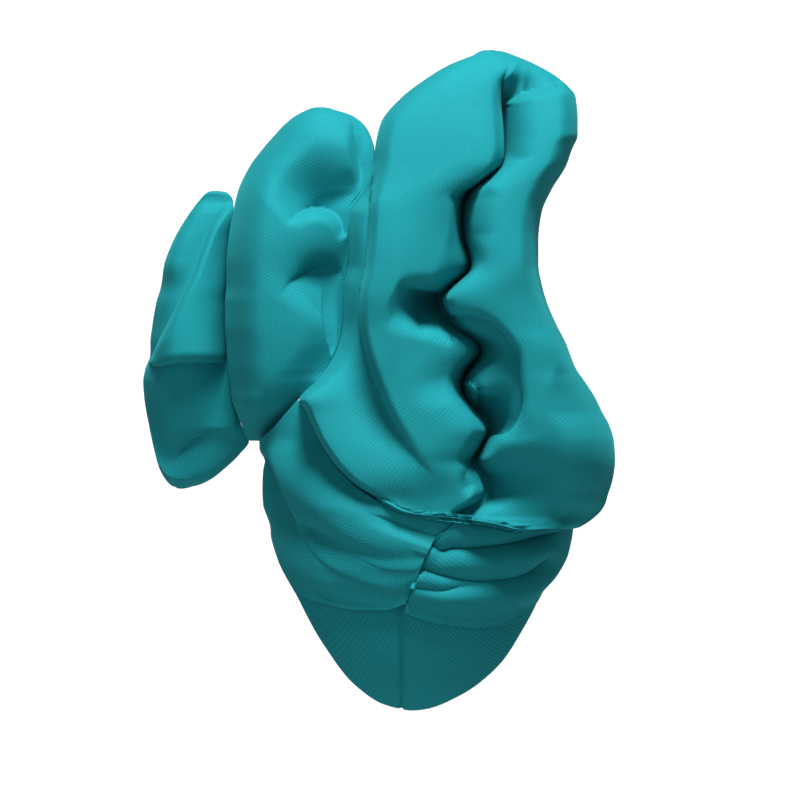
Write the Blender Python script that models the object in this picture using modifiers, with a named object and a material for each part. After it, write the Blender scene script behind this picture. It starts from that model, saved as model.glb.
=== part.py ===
"""Turban cap, worn: a fitted hood, two gathered drapes and three hollow ruffles.

The origin is the crown of the hood, where the head stops.  Up is +Z, the nape is
at +Y and the wearer's left is at +X.  Lengths are metres.  Every table holds shares
of SPAN unless its column says degrees.
"""
import math

import bpy
import bmesh
import numpy as np

# Named sizes
SPAN = 0.390            # from the top of the tall ruffle to the nape hem
HEAD_HALF_WIDTH = 0.078
HEAD_HALF_DEPTH = 0.097
CROWN_RISE = 0.085      # from the widest level of the head up to the crown
NAPE_DROP = 0.120       # the rounding below the widest level
CLOTH = 0.0025
SEAT = 0.0007           # between the drapes and the hood
PARTING = 0.0008        # between neighbouring forms
RUFFLE_STAND = 0.0038   # how far the tall ruffle keeps off the hood

# Mesh sizes
HOOD_COLUMNS = 24
HOOD_ROWS = 15
DRAPE_COLUMNS = 18
DRAPE_ROWS = 13
TALL_BACK = 26
TALL_FRONT = 13
MIDDLE_BACK = 14
MIDDLE_FRONT = 8
SIDE_BACK = 11
SIDE_FRONT = 7

TEAL = (0.012, 0.235, 0.250, 1.0)

# Hem: angle round the head from the nape in degrees (plus is left), drop below the crown
HEM = (
    (-180, 0.115), (-135, 0.154), (-110, 0.205), (-90, 0.270), (-66, 0.344), (-54, 0.395),
    (-35, 0.438), (-10, 0.462), (0, 0.464), (18, 0.454), (34, 0.423), (47, 0.362),
    (60, 0.290), (72, 0.256), (90, 0.220), (110, 0.180), (135, 0.145), (180, 0.115),
)

# Ruffle sections, a row per level: up, left rim, right rim, main fold,
# left rim back, right rim back, swell to the back, swell to the front
TALL_SECTIONS = (
    (-0.192, -0.166, -0.246, -0.206, 0.267, 0.159, 0.031, 0.010),
    (-0.185, -0.133, -0.266, -0.198, 0.272, 0.144, 0.072, 0.021),
    (-0.176, -0.079, -0.279, -0.137, 0.277, 0.128, 0.092, 0.031),
    (-0.166, 0.008, -0.290, -0.085, 0.277, 0.115, 0.103, 0.041),
    (-0.153, 0.034, -0.298, -0.101, 0.272, 0.108, 0.115, 0.051),
    (-0.139, 0.058, -0.302, -0.113, 0.259, 0.103, 0.126, 0.056),
    (-0.125, 0.081, -0.307, -0.113, 0.246, 0.097, 0.133, 0.064),
    (-0.107, 0.101, -0.311, -0.092, 0.233, 0.092, 0.144, 0.072),
    (-0.087, 0.118, -0.313, -0.095, 0.221, 0.087, 0.154, 0.077),
    (-0.058, 0.137, -0.311, -0.113, 0.203, 0.087, 0.167, 0.087),
    (-0.034, 0.148, -0.304, -0.115, 0.190, 0.090, 0.177, 0.092),
    (-0.014, 0.157, -0.293, -0.102, 0.179, 0.092, 0.185, 0.097),
    (0.005, 0.168, -0.284, -0.087, 0.164, 0.097, 0.190, 0.103),
    (0.032, 0.144, -0.267, -0.081, 0.156, 0.108, 0.192, 0.105),
    (0.052, 0.127, -0.253, -0.092, 0.154, 0.115, 0.195, 0.108),
    (0.092, 0.107, -0.237, -0.104, 0.149, 0.128, 0.190, 0.108),
    (0.119, 0.102, -0.223, -0.069, 0.149, 0.133, 0.185, 0.105),
    (0.154, 0.101, -0.208, -0.050, 0.149, 0.138, 0.179, 0.103),
    (0.182, 0.099, -0.200, -0.073, 0.151, 0.141, 0.172, 0.100),
    (0.211, 0.093, -0.195, -0.095, 0.154, 0.144, 0.164, 0.097),
    (0.249, 0.093, -0.195, -0.081, 0.154, 0.146, 0.162, 0.095),
    (0.290, 0.090, -0.200, -0.078, 0.154, 0.149, 0.159, 0.092),
    (0.325, 0.067, -0.215, -0.105, 0.154, 0.149, 0.154, 0.092),
    (0.363, 0.055, -0.238, -0.142, 0.154, 0.149, 0.151, 0.090),
    (0.386, 0.053, -0.246, -0.151, 0.154, 0.149, 0.149, 0.087),
    (0.409, 0.049, -0.255, -0.150, 0.154, 0.149, 0.144, 0.085),
    (0.429, 0.043, -0.255, -0.148, 0.154, 0.149, 0.138, 0.082),
    (0.466, 0.012, -0.252, -0.150, 0.154, 0.149, 0.118, 0.072),
    (0.493, -0.023, -0.229, -0.150, 0.154, 0.149, 0.097, 0.056),
    (0.516, -0.061, -0.191, -0.137, 0.151, 0.149, 0.072, 0.041),
    (0.531, -0.098, -0.156, -0.128, 0.149, 0.149, 0.041, 0.023),
    (0.538, -0.113, -0.128, -0.121, 0.149, 0.149, 0.013, 0.008),
)
MIDDLE_SECTIONS = (
    (-0.058, 0.244, 0.232, 0.238, -0.010, 0.021, 0.013, 0.010),
    (-0.034, 0.258, 0.206, 0.234, -0.026, 0.103, 0.056, 0.036),
    (-0.014, 0.266, 0.188, 0.227, -0.036, 0.138, 0.082, 0.051),
    (0.005, 0.273, 0.171, 0.221, -0.041, 0.159, 0.103, 0.067),
    (0.032, 0.276, 0.144, 0.211, -0.046, 0.159, 0.118, 0.077),
    (0.052, 0.279, 0.127, 0.203, -0.051, 0.154, 0.128, 0.087),
    (0.092, 0.282, 0.107, 0.195, -0.056, 0.144, 0.138, 0.097),
    (0.119, 0.284, 0.102, 0.192, -0.059, 0.141, 0.141, 0.103),
    (0.154, 0.284, 0.101, 0.186, -0.062, 0.138, 0.144, 0.108),
    (0.182, 0.282, 0.099, 0.174, -0.062, 0.138, 0.138, 0.108),
    (0.211, 0.282, 0.093, 0.168, -0.062, 0.138, 0.133, 0.108),
    (0.249, 0.279, 0.093, 0.165, -0.062, 0.138, 0.128, 0.108),
    (0.290, 0.272, 0.090, 0.156, -0.056, 0.133, 0.123, 0.103),
    (0.325, 0.264, 0.067, 0.144, -0.051, 0.128, 0.118, 0.097),
    (0.363, 0.246, 0.055, 0.131, -0.036, 0.118, 0.113, 0.087),
    (0.386, 0.229, 0.055, 0.125, -0.021, 0.108, 0.103, 0.077),
    (0.409, 0.209, 0.066, 0.128, -0.005, 0.092, 0.087, 0.064),
    (0.429, 0.192, 0.082, 0.134, 0.005, 0.077, 0.067, 0.049),
    (0.441, 0.177, 0.102, 0.140, 0.015, 0.062, 0.046, 0.033),
    (0.449, 0.160, 0.127, 0.144, 0.026, 0.046, 0.023, 0.018),
    (0.451, 0.151, 0.142, 0.147, 0.031, 0.036, 0.008, 0.005),
)
SIDE_SECTIONS = (
    (-0.130, 0.360, 0.348, 0.354, -0.092, -0.087, 0.010, 0.008),
    (-0.118, 0.376, 0.308, 0.340, -0.097, -0.067, 0.036, 0.021),
    (-0.102, 0.385, 0.287, 0.333, -0.103, -0.051, 0.056, 0.036),
    (-0.079, 0.392, 0.263, 0.325, -0.113, -0.036, 0.072, 0.051),
    (-0.058, 0.397, 0.248, 0.321, -0.118, -0.010, 0.082, 0.062),
    (-0.034, 0.402, 0.260, 0.327, -0.123, -0.026, 0.087, 0.072),
    (-0.014, 0.406, 0.266, 0.336, -0.128, -0.036, 0.090, 0.074),
    (0.005, 0.409, 0.273, 0.342, -0.133, -0.041, 0.092, 0.077),
    (0.032, 0.411, 0.276, 0.345, -0.138, -0.046, 0.092, 0.082),
    (0.052, 0.408, 0.279, 0.345, -0.138, -0.051, 0.092, 0.082),
    (0.092, 0.402, 0.282, 0.366, -0.138, -0.056, 0.092, 0.082),
    (0.119, 0.397, 0.284, 0.357, -0.138, -0.059, 0.092, 0.082),
    (0.154, 0.391, 0.284, 0.345, -0.133, -0.062, 0.092, 0.082),
    (0.182, 0.383, 0.282, 0.333, -0.131, -0.062, 0.090, 0.079),
    (0.211, 0.374, 0.282, 0.321, -0.128, -0.062, 0.087, 0.077),
    (0.249, 0.359, 0.279, 0.305, -0.123, -0.062, 0.077, 0.069),
    (0.290, 0.337, 0.272, 0.296, -0.118, -0.056, 0.062, 0.056),
    (0.310, 0.327, 0.273, 0.293, -0.113, -0.082, 0.041, 0.038),
    (0.324, 0.313, 0.282, 0.296, -0.108, -0.087, 0.021, 0.018),
    (0.327, 0.305, 0.296, 0.301, -0.103, -0.092, 0.008, 0.005),
)

# Folds, a row each: run as (across, up) points seen from the back, depth, width to the
# left of the run, width to its right, and the lengths over which it fades in and out.
# A rounded side turns under like a roll, a sloped side runs out flat.
ROUND = 1
SLOPE = 0
TALL_FOLDS = (
    (((0.097, 0.157), (0.076, 0.100), (0.062, 0.050), (0.038, -0.026), (0.015, -0.084)),
     0.080, 0.070, 0.038, SLOPE, ROUND, 0.050, 0.180),
    (((-0.145, 0.444), (-0.160, 0.458), (-0.208, 0.470), (-0.234, 0.476)),
     0.040, 0.036, 0.026, SLOPE, ROUND, 0.010, 0.036),
    (((-0.061, 0.133), (-0.127, 0.118), (-0.165, 0.070), (-0.174, 0.012), (-0.150, -0.042),
      (-0.121, -0.046)), 0.040, 0.026, 0.056, ROUND, SLOPE, 0.026, 0.021),
    (((-0.098, -0.084), (-0.144, -0.108), (-0.206, -0.108)),
     0.032, 0.026, 0.036, ROUND, SLOPE, 0.010, 0.056),
)
MIDDLE_FOLDS = (
    (((0.099, 0.195), (0.134, 0.203), (0.163, 0.188), (0.180, 0.166)),
     0.065, 0.045, 0.075, ROUND, ROUND, 0.010, 0.050),
)
SIDE_FOLDS = (
    (((0.272, 0.322), (0.298, 0.256), (0.336, 0.173), (0.366, 0.111), (0.397, 0.063)),
     0.036, 0.067, 0.024, SLOPE, ROUND, 0.026, 0.026),
    (((0.394, 0.053), (0.336, 0.064), (0.278, 0.063)),
     0.028, 0.026, 0.056, ROUND, SLOPE, 0.026, 0.015),
)
LEFT_DRAPE_FOLDS = (
    (((0.076, -0.162), (0.015, -0.183), (-0.053, -0.205), (-0.087, -0.176)),
     0.023, 0.026, 0.026, ROUND, SLOPE, 0.100, 0.005),
    (((0.183, -0.166), (0.102, -0.224), (0.037, -0.253), (-0.011, -0.255), (-0.034, -0.234)),
     0.033, 0.046, 0.030, ROUND, SLOPE, 0.077, 0.004),
    (((0.235, -0.072), (0.211, -0.118), (0.174, -0.203), (0.089, -0.266), (-0.012, -0.295)),
     0.031, 0.028, 0.034, ROUND, ROUND, 0.021, 0.050),
)
RIGHT_DRAPE_FOLDS = (
    (((-0.034, -0.211), (-0.060, -0.223), (-0.113, -0.220), (-0.238, -0.195)),
     0.028, 0.031, 0.028, ROUND, ROUND, 0.004, 0.041),
    (((-0.014, -0.249), (-0.070, -0.266), (-0.134, -0.270), (-0.200, -0.250), (-0.226, -0.226)),
     0.028, 0.036, 0.028, ROUND, ROUND, 0.004, 0.041),
)

# The main fold of each ruffle: depth, width to its left, width to its right
TALL_MAIN_FOLD = (0.100, 0.055, 0.055)
MIDDLE_MAIN_FOLD = (0.0, 0.020, 0.020)
SIDE_MAIN_FOLD = (0.0, 0.020, 0.020)

# Dents, a row each: across, up, half length, half width, tilt in degrees, depth
TALL_DENTS = (
    (-0.165, 0.398, 0.040, 0.018, 80, 0.050),
    (-0.098, 0.249, 0.052, 0.017, 95, 0.050),
    (-0.027, 0.157, 0.034, 0.024, 10, 0.080),
    (-0.133, 0.020, 0.070, 0.034, 90, 0.040),
)
MIDDLE_DENTS = (
    (0.134, 0.325, 0.052, 0.031, 80, 0.070),
)
SIDE_DENTS = (
    (0.308, -0.075, 0.040, 0.024, -20, 0.040),
)

# Half width and half depth of each drape, a row per level: up, half width, half depth
LEFT_DRAPE_GIRTH = (
    (-0.331, 0.200, 0.249), (-0.301, 0.205, 0.259), (-0.263, 0.213, 0.272),
    (-0.246, 0.215, 0.277), (-0.209, 0.223, 0.282), (-0.171, 0.228, 0.279),
    (-0.133, 0.233, 0.269), (-0.079, 0.236, 0.251), (-0.058, 0.238, 0.236),
    (-0.034, 0.246, 0.223), (0.005, 0.256, 0.210), (0.035, 0.267, 0.200),
)
RIGHT_DRAPE_GIRTH = (
    (-0.362, 0.197, 0.244), (-0.340, 0.205, 0.251), (-0.308, 0.215, 0.264),
    (-0.293, 0.223, 0.269), (-0.263, 0.236, 0.277), (-0.224, 0.246, 0.282),
    (-0.192, 0.251, 0.282), (-0.156, 0.251, 0.277),
)
# The gathered seam the drapes share: up, across
SEAM = (
    (-0.345, 0.014), (-0.313, 0.008), (-0.280, -0.006), (-0.245, -0.020), (-0.210, -0.038),
    (-0.182, -0.066), (-0.156, -0.092),
)
# Lower edge of each drape: share of the way round from the seam to the front end, up
LEFT_DRAPE_EDGE = (
    (0.00, -0.305), (0.06, -0.315), (0.15, -0.315), (0.30, -0.305), (0.42, -0.292),
    (0.50, -0.262), (0.56, -0.240), (0.64, -0.213), (0.75, -0.190), (1.00, -0.145),
)
RIGHT_DRAPE_EDGE = (
    (0.00, -0.319), (0.10, -0.334), (0.25, -0.342), (0.40, -0.337), (0.52, -0.313),
    (0.66, -0.258), (0.80, -0.209), (1.00, -0.148),
)
DRAPE_END = 130.0       # degrees round from the nape where the drapes stop
FRONT_TOP = -0.030      # how high the drapes reach beside the brow


def ease(t):
    """Smooth step from 0 to 1."""
    t = np.clip(t, 0.0, 1.0)
    return t * t * (3.0 - 2.0 * t)


def curve(table, key):
    """Monotone cubic through the rows of a table, read at the first column."""
    rows = np.array(table, float)
    knots = rows[:, 0]
    key = np.clip(key, knots[0], knots[-1])
    step = np.diff(knots)
    slope = np.diff(rows[:, 1:], axis=0) / step[:, None]
    tangent = np.empty_like(rows[:, 1:])
    tangent[0] = slope[0]
    tangent[-1] = slope[-1]
    before = (2 * step[1:] + step[:-1])[:, None]
    after = (step[1:] + 2 * step[:-1])[:, None]
    low = slope[:-1]
    high = slope[1:]
    same = low * high > 0
    safe_low = np.where(same, low, 1.0)
    safe_high = np.where(same, high, 1.0)
    total = before / safe_low + after / safe_high
    mean = (before + after) / np.where(same, total, 1.0)
    tangent[1:-1] = np.where(same, mean, 0.0)
    at = np.clip(np.searchsorted(knots, key, side="right") - 1, 0, len(knots) - 2)
    f = ((key - knots[at]) / step[at])[..., None]
    h = step[at][..., None]
    return ((1 + 2 * f) * (1 - f) ** 2 * rows[at, 1:] + f * (1 - f) ** 2 * h * tangent[at]
            + f * f * (3 - 2 * f) * rows[at + 1, 1:] + f * f * (f - 1) * h * tangent[at + 1])


def run_of(points):
    """Even smooth run through a few points."""
    knots = np.array(points, float)
    count = len(knots)
    t = np.linspace(0, count - 1, 8 * (count - 1) + 1)
    at = np.minimum(t.astype(int), count - 2)
    f = (t - at)[:, None]
    ends = np.vstack([2 * knots[0] - knots[1], knots, 2 * knots[-1] - knots[-2]])
    a = ends[at]
    b = ends[at + 1]
    c = ends[at + 2]
    d = ends[at + 3]
    return b + 0.5 * f * ((c - a) + f * ((2 * a - 5 * b + 4 * c - d) + f * (3 * (b - c) + d - a)))


def off_run(across, up, points):
    """Distance from a run, which side of it (plus is to its right hand), and share along."""
    run = run_of(points)
    start = run[:-1]
    along = np.diff(run, axis=0)
    length = np.hypot(along[:, 0], along[:, 1])
    dx = across[..., None] - start[:, 0]
    dz = up[..., None] - start[:, 1]
    f = np.clip((dx * along[:, 0] + dz * along[:, 1]) / length ** 2, 0, 1)
    distance = np.hypot(dx - f * along[:, 0], dz - f * along[:, 1])
    best = np.argmin(distance, axis=-1)[..., None]
    cross = along[:, 0] * dz - along[:, 1] * dx
    side = np.take_along_axis(cross, best, -1)[..., 0]
    done = np.concatenate([[0.0], np.cumsum(length)])
    place = np.take_along_axis(done[:-1] + f * length, best, -1)[..., 0]
    return np.take_along_axis(distance, best, -1)[..., 0], side, place, done[-1]


def turn_under(distance, width, kind):
    """Share of a fold's depth at a distance from its run."""
    t = np.clip(distance / width, 0, 1)
    roll = 1 - np.sqrt(np.clip(1 - (1 - t) ** 2, 0, 1))
    flat = (1 - t) ** 2 * (1 + 2 * t)
    return np.where(kind == ROUND, roll, flat)


def fold_depth(across, up, folds, dents):
    """Depth of all folds and dents at places seen from the back."""
    depth = np.zeros_like(across)
    for points, deep, left, right, left_kind, right_kind, fade_in, fade_out in folds:
        distance, side, place, total = off_run(across, up, points)
        shown = ease(place / fade_in) * ease((total - place) / fade_out)
        width = np.where(side > 0, right, left)
        kind = np.where(side > 0, right_kind, left_kind)
        depth += deep * shown * turn_under(distance, width, kind)
    for at_across, at_up, half_length, half_width, tilt, deep in dents:
        angle = math.radians(tilt)
        dx = at_across - across
        dz = up - at_up
        u = (dx * math.cos(angle) + dz * math.sin(angle)) / half_length
        v = (dz * math.cos(angle) - dx * math.sin(angle)) / half_width
        depth += deep * np.exp(-1.2 * (u * u + v * v))
    return depth


def head_level(z, off):
    """Share of the girth left at a height of the head grown by an allowance."""
    above = z + CROWN_RISE
    h = np.where(above > 0, above / (CROWN_RISE + off), -above / (NAPE_DROP + off))
    return np.sqrt(np.clip(1 - h * h, 0, 1))


def keep_off_hood(points, stand):
    """Move points back until they are clear of the hood."""
    off = CLOTH + stand
    x = points[..., 0] / (HEAD_HALF_WIDTH + off)
    room = np.clip(head_level(points[..., 2], off) ** 2 - x * x, 0, None)
    least = (HEAD_HALF_DEPTH + off) * np.sqrt(room)
    points[..., 1] = np.where(room > 0, np.maximum(points[..., 1], least), points[..., 1])
    return points


def ruffle(sections, folds, dents, main_fold, back_count, front_count):
    """Closed sections from the open foot up to the pole: round the back, home by the front."""
    rows = np.array(sections)
    up, left, right, fold, left_y, right_y, back, front = (rows[:, i, None] for i in range(8))
    left = left - 0.5 * PARTING / SPAN
    right = right + 0.5 * PARTING / SPAN
    half = np.linspace(0, 1, back_count // 2 + 1)
    bunched = 0.35 * half + 0.65 * (1 - np.cos(half * math.pi / 2))
    across = np.hstack([left + (fold - left) * bunched,
                        (right + (fold - right) * bunched)[:, ::-1][:, 1:]])
    turn = np.linspace(0, math.pi, front_count + 2)[1:-1]
    home = 0.5 * (left + right) - 0.5 * (left - right) * np.cos(turn)
    share = np.hstack([(left - across) / (left - right), (left - home) / (left - right)])
    lift = np.sqrt(np.clip(1 - (2 * share - 1) ** 2, 0, 1))
    at_back = np.arange(share.shape[1]) < across.shape[1]
    across = np.hstack([across, home])
    level = up + 0 * across
    deep, wide_left, wide_right = main_fold
    off = across - fold
    crease = deep * turn_under(np.abs(off), np.where(off > 0, wide_left, wide_right), ROUND)
    crease = crease * ease((up - up[0]) / 0.04) * ease((0.50 - up) / 0.06)
    cut = (crease + fold_depth(across, level, folds, dents)) * ease(2.2 * lift)
    depth = left_y + (right_y - left_y) * share + np.where(at_back, back * lift - cut, -front * lift)
    points = np.stack([across, depth, level], -1) * SPAN
    return keep_off_hood(points, RUFFLE_STAND)


def hood():
    """Rings from the hem up to the crown, round the whole head."""
    turn = np.linspace(-math.pi, math.pi, HOOD_COLUMNS, endpoint=False)
    hem = -SPAN * curve(HEM, np.degrees(turn))[:, 0]
    above = hem + CROWN_RISE
    upper = np.arccos(np.clip(above / CROWN_RISE, -1, 1))
    lower = math.pi / 2 + np.arcsin(np.clip(-above / NAPE_DROP, -1, 1))
    reach = np.where(above > 0, upper, lower)
    share = np.linspace(1, 0.06, HOOD_ROWS)[:, None]
    polar = reach * share
    height = np.cos(polar)
    x = (HEAD_HALF_WIDTH + CLOTH) * np.sin(polar) * np.sin(turn)
    y = (HEAD_HALF_DEPTH + CLOTH) * np.sin(polar) * np.cos(turn)
    z = np.where(height > 0, (CROWN_RISE + CLOTH) * height, (NAPE_DROP + CLOTH) * height)
    return np.stack([x, y, z - CROWN_RISE], -1)


def lower_rim():
    """Underside of the ruffles as (across, up), from the right to the left."""
    tall = np.array(TALL_SECTIONS)
    middle = np.array(MIDDLE_SECTIONS)
    right_side = tall[tall[:, 0] < -0.150]
    left_side = tall[tall[:, 0] < 0.010]
    corner = middle[middle[:, 0] < 0.010]
    line = [(-0.400, right_side[0, 0])]
    line.append((right_side[0, 2], right_side[0, 0]))
    for row in left_side:
        line.append((row[1], row[0]))
    for row in corner[::-1]:
        line.append((row[2], row[0]))
    line.append((0.400, corner[0, 0]))
    return np.array(line)


def drape(to_left):
    """Gathered half of the wrap, from the seam round one side, lower edge to upper edge."""
    hand = 1.0 if to_left else -1.0
    girth = LEFT_DRAPE_GIRTH if to_left else RIGHT_DRAPE_GIRTH
    edge = LEFT_DRAPE_EDGE if to_left else RIGHT_DRAPE_EDGE
    folds = LEFT_DRAPE_FOLDS if to_left else RIGHT_DRAPE_FOLDS
    rim = lower_rim()
    along = np.linspace(0, 1, DRAPE_COLUMNS)
    end = math.radians(DRAPE_END) * hand
    turn_from = math.radians(82.0 if to_left else 95.0)
    parting = PARTING / SPAN

    def angle(share, up):
        size = curve(girth, up)
        start = np.arcsin((curve(SEAM, up)[..., 0] + hand * parting) / size[..., 0])
        return start + share * (end - start), size

    def rim_height(across):
        step = 0.004
        slope = (np.interp(across + step, rim[:, 0], rim[:, 1])
                 - np.interp(across - step, rim[:, 0], rim[:, 1])) / (2 * step)
        return np.interp(across, rim[:, 0], rim[:, 1]) - 1.8 * parting * np.sqrt(1 + slope ** 2)

    top = np.full(DRAPE_COLUMNS, -0.15)
    for _ in range(60):
        turn, size = angle(along, top)
        past = ease((np.abs(turn) - turn_from) / math.radians(16))
        beside = np.where(np.abs(turn) > math.pi / 2, hand * size[:, 0], size[:, 0] * np.sin(turn))
        top = 0.5 * top + 0.5 * (rim_height(beside) * (1 - past) + FRONT_TOP * past)
    foot = curve(edge, along)[:, 0]
    rise = np.linspace(0, 1, DRAPE_ROWS)[:, None]
    up = foot + (top - foot) * rise
    share = along + 0 * up
    turn, size = angle(share, up)
    close = CLOTH + SEAT + CLOTH
    ring = head_level(up * SPAN, close)
    near_x = (HEAD_HALF_WIDTH + close) * ring / SPAN
    near_y = (HEAD_HALF_DEPTH + close) * ring / SPAN
    climbed = (up - foot) * SPAN
    past = ease((np.abs(turn) - turn_from) / math.radians(16))
    curl = 1 - past * (1 - ease((top - up) * SPAN / 0.022))
    loose = ease(climbed / 0.016) * (1 - ease((share - 0.62) / 0.38)) * curl
    wide = near_x + (size[..., 0] - near_x) * loose
    deep = near_y + (size[..., 1] - near_y) * loose
    across = wide * np.sin(turn)
    depth = deep * np.cos(turn)
    cut = fold_depth(across, up, folds, ())
    cut = cut * ease((1.55 - np.abs(turn)) / 0.5) * ease(climbed / 0.008) * ease(share / 0.15)
    out_x = across / wide ** 2
    out_y = depth / deep ** 2
    scale = np.hypot(out_x, out_y)
    across = across - cut * out_x / scale
    depth = depth - cut * out_y / scale
    inside = np.maximum(1.0, 1.0 / np.hypot(across / near_x, depth / near_y))
    return np.stack([across * inside, depth * inside, up], -1) * SPAN


def cloth_material():
    """Teal knit."""
    material = bpy.data.materials.new("teal_knit")
    material.use_nodes = True
    surface = material.node_tree.nodes["Principled BSDF"]
    surface.inputs["Base Color"].default_value = TEAL
    surface.inputs["Roughness"].default_value = 0.8
    material.diffuse_color = TEAL
    return material


def sew(name, grid, round_closed, material, collection):
    """One cloth piece from a grid of points; the grid is its outer face."""
    rows, columns = grid.shape[:2]
    verts = [tuple(p) for p in grid.reshape(-1, 3)]
    last = columns if round_closed else columns - 1
    faces = []
    for r in range(rows - 1):
        for c in range(last):
            d = (c + 1) % columns
            faces.append((r * columns + c, r * columns + d, (r + 1) * columns + d,
                          (r + 1) * columns + c))
    if round_closed:
        verts.append(tuple(grid[-1].mean(axis=0)))
        pole = len(verts) - 1
        base = (rows - 1) * columns
        for c in range(columns):
            faces.append((base + c, base + (c + 1) % columns, pole))
    mesh = bpy.data.meshes.new(name)
    mesh.from_pydata(verts, [], faces)
    shape = bmesh.new()
    shape.from_mesh(mesh)
    bmesh.ops.triangulate(shape, faces=shape.faces[:])
    shape.to_mesh(mesh)
    shape.free()
    mesh.validate()
    mesh.materials.append(material)
    piece = bpy.data.objects.new(name, mesh)
    collection.objects.link(piece)
    wall = piece.modifiers.new("wall", "SOLIDIFY")
    wall.thickness = CLOTH
    wall.offset = -1.0
    wall.use_rim = True
    return piece


def flipped(grid):
    """The same points with the rows read the other way round."""
    return grid[:, ::-1]


def build():
    for item in list(bpy.data.objects):
        bpy.data.objects.remove(item, do_unlink=True)
    collection = bpy.data.collections.new("turban_cap")
    bpy.context.scene.collection.children.link(collection)
    tall = ruffle(TALL_SECTIONS, TALL_FOLDS, TALL_DENTS, TALL_MAIN_FOLD, TALL_BACK, TALL_FRONT)
    middle = ruffle(MIDDLE_SECTIONS, MIDDLE_FOLDS, MIDDLE_DENTS, MIDDLE_MAIN_FOLD,
                    MIDDLE_BACK, MIDDLE_FRONT)
    side = ruffle(SIDE_SECTIONS, SIDE_FOLDS, SIDE_DENTS, SIDE_MAIN_FOLD, SIDE_BACK, SIDE_FRONT)
    pieces = (
        ("cap_body", flipped(hood()), True),
        ("left_back_drape", flipped(drape(True)), False),
        ("right_back_drape", drape(False), False),
        ("tall_ruffle", tall, True),
        ("middle_ruffle", middle, True),
        ("side_ruffle", side, True),
    )
    for name, grid, round_closed in pieces:
        material = cloth_material()
        material.name = name + "_knit"
        sew(name, grid, round_closed, material, collection)


build()
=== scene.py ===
"""Turban cap: knit hood, gathered back drapes and three hollow ruffles, seen from behind.

The cap's tables and measures are shares of its whole height, unless a comment says degrees,
metres or another share.  Across is plus to the wearer's left, up is measured from the crown
of the head and is plus above it, and back is plus towards the nape.
"""
import math

import bpy
import numpy as np
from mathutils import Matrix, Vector


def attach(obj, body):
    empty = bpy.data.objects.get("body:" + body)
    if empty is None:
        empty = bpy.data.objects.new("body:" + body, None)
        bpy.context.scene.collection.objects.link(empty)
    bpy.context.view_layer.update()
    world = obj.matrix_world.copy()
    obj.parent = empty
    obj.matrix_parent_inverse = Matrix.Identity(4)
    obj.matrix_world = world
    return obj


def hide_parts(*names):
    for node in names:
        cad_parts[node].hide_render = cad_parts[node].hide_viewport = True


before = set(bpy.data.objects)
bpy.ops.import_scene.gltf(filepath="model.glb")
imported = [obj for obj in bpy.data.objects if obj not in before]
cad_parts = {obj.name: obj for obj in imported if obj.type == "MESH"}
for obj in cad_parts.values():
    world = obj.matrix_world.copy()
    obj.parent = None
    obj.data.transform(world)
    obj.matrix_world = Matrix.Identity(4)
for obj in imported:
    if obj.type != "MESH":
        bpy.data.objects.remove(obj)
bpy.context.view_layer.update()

bl_info = {
    "name": "Turban Cap",
    "version": (1, 0, 0),
    "blender": (4, 5, 0),
    "location": "3D View > Sidebar > Turban Cap",
    "description": "Builds a gathered knit turban cap with three ruffles",
    "category": "Object",
}

# Edge kinds of a fold: a roll turns under, a slope runs out flat, a soft edge does both gently
ROLL = 0
SLOPE = 1
SOFT = 2


# Hem: angle round the head from the nape in degrees (plus is left), drop below the crown
HEM = (
    (-180, 0.115), (-135, 0.154), (-110, 0.205), (-90, 0.270), (-66, 0.344), (-54, 0.395),
    (-35, 0.438), (-10, 0.462), (0, 0.464), (18, 0.454), (34, 0.423), (47, 0.362),
    (60, 0.290), (72, 0.256), (90, 0.220), (110, 0.180), (135, 0.145), (180, 0.115),
)

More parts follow.
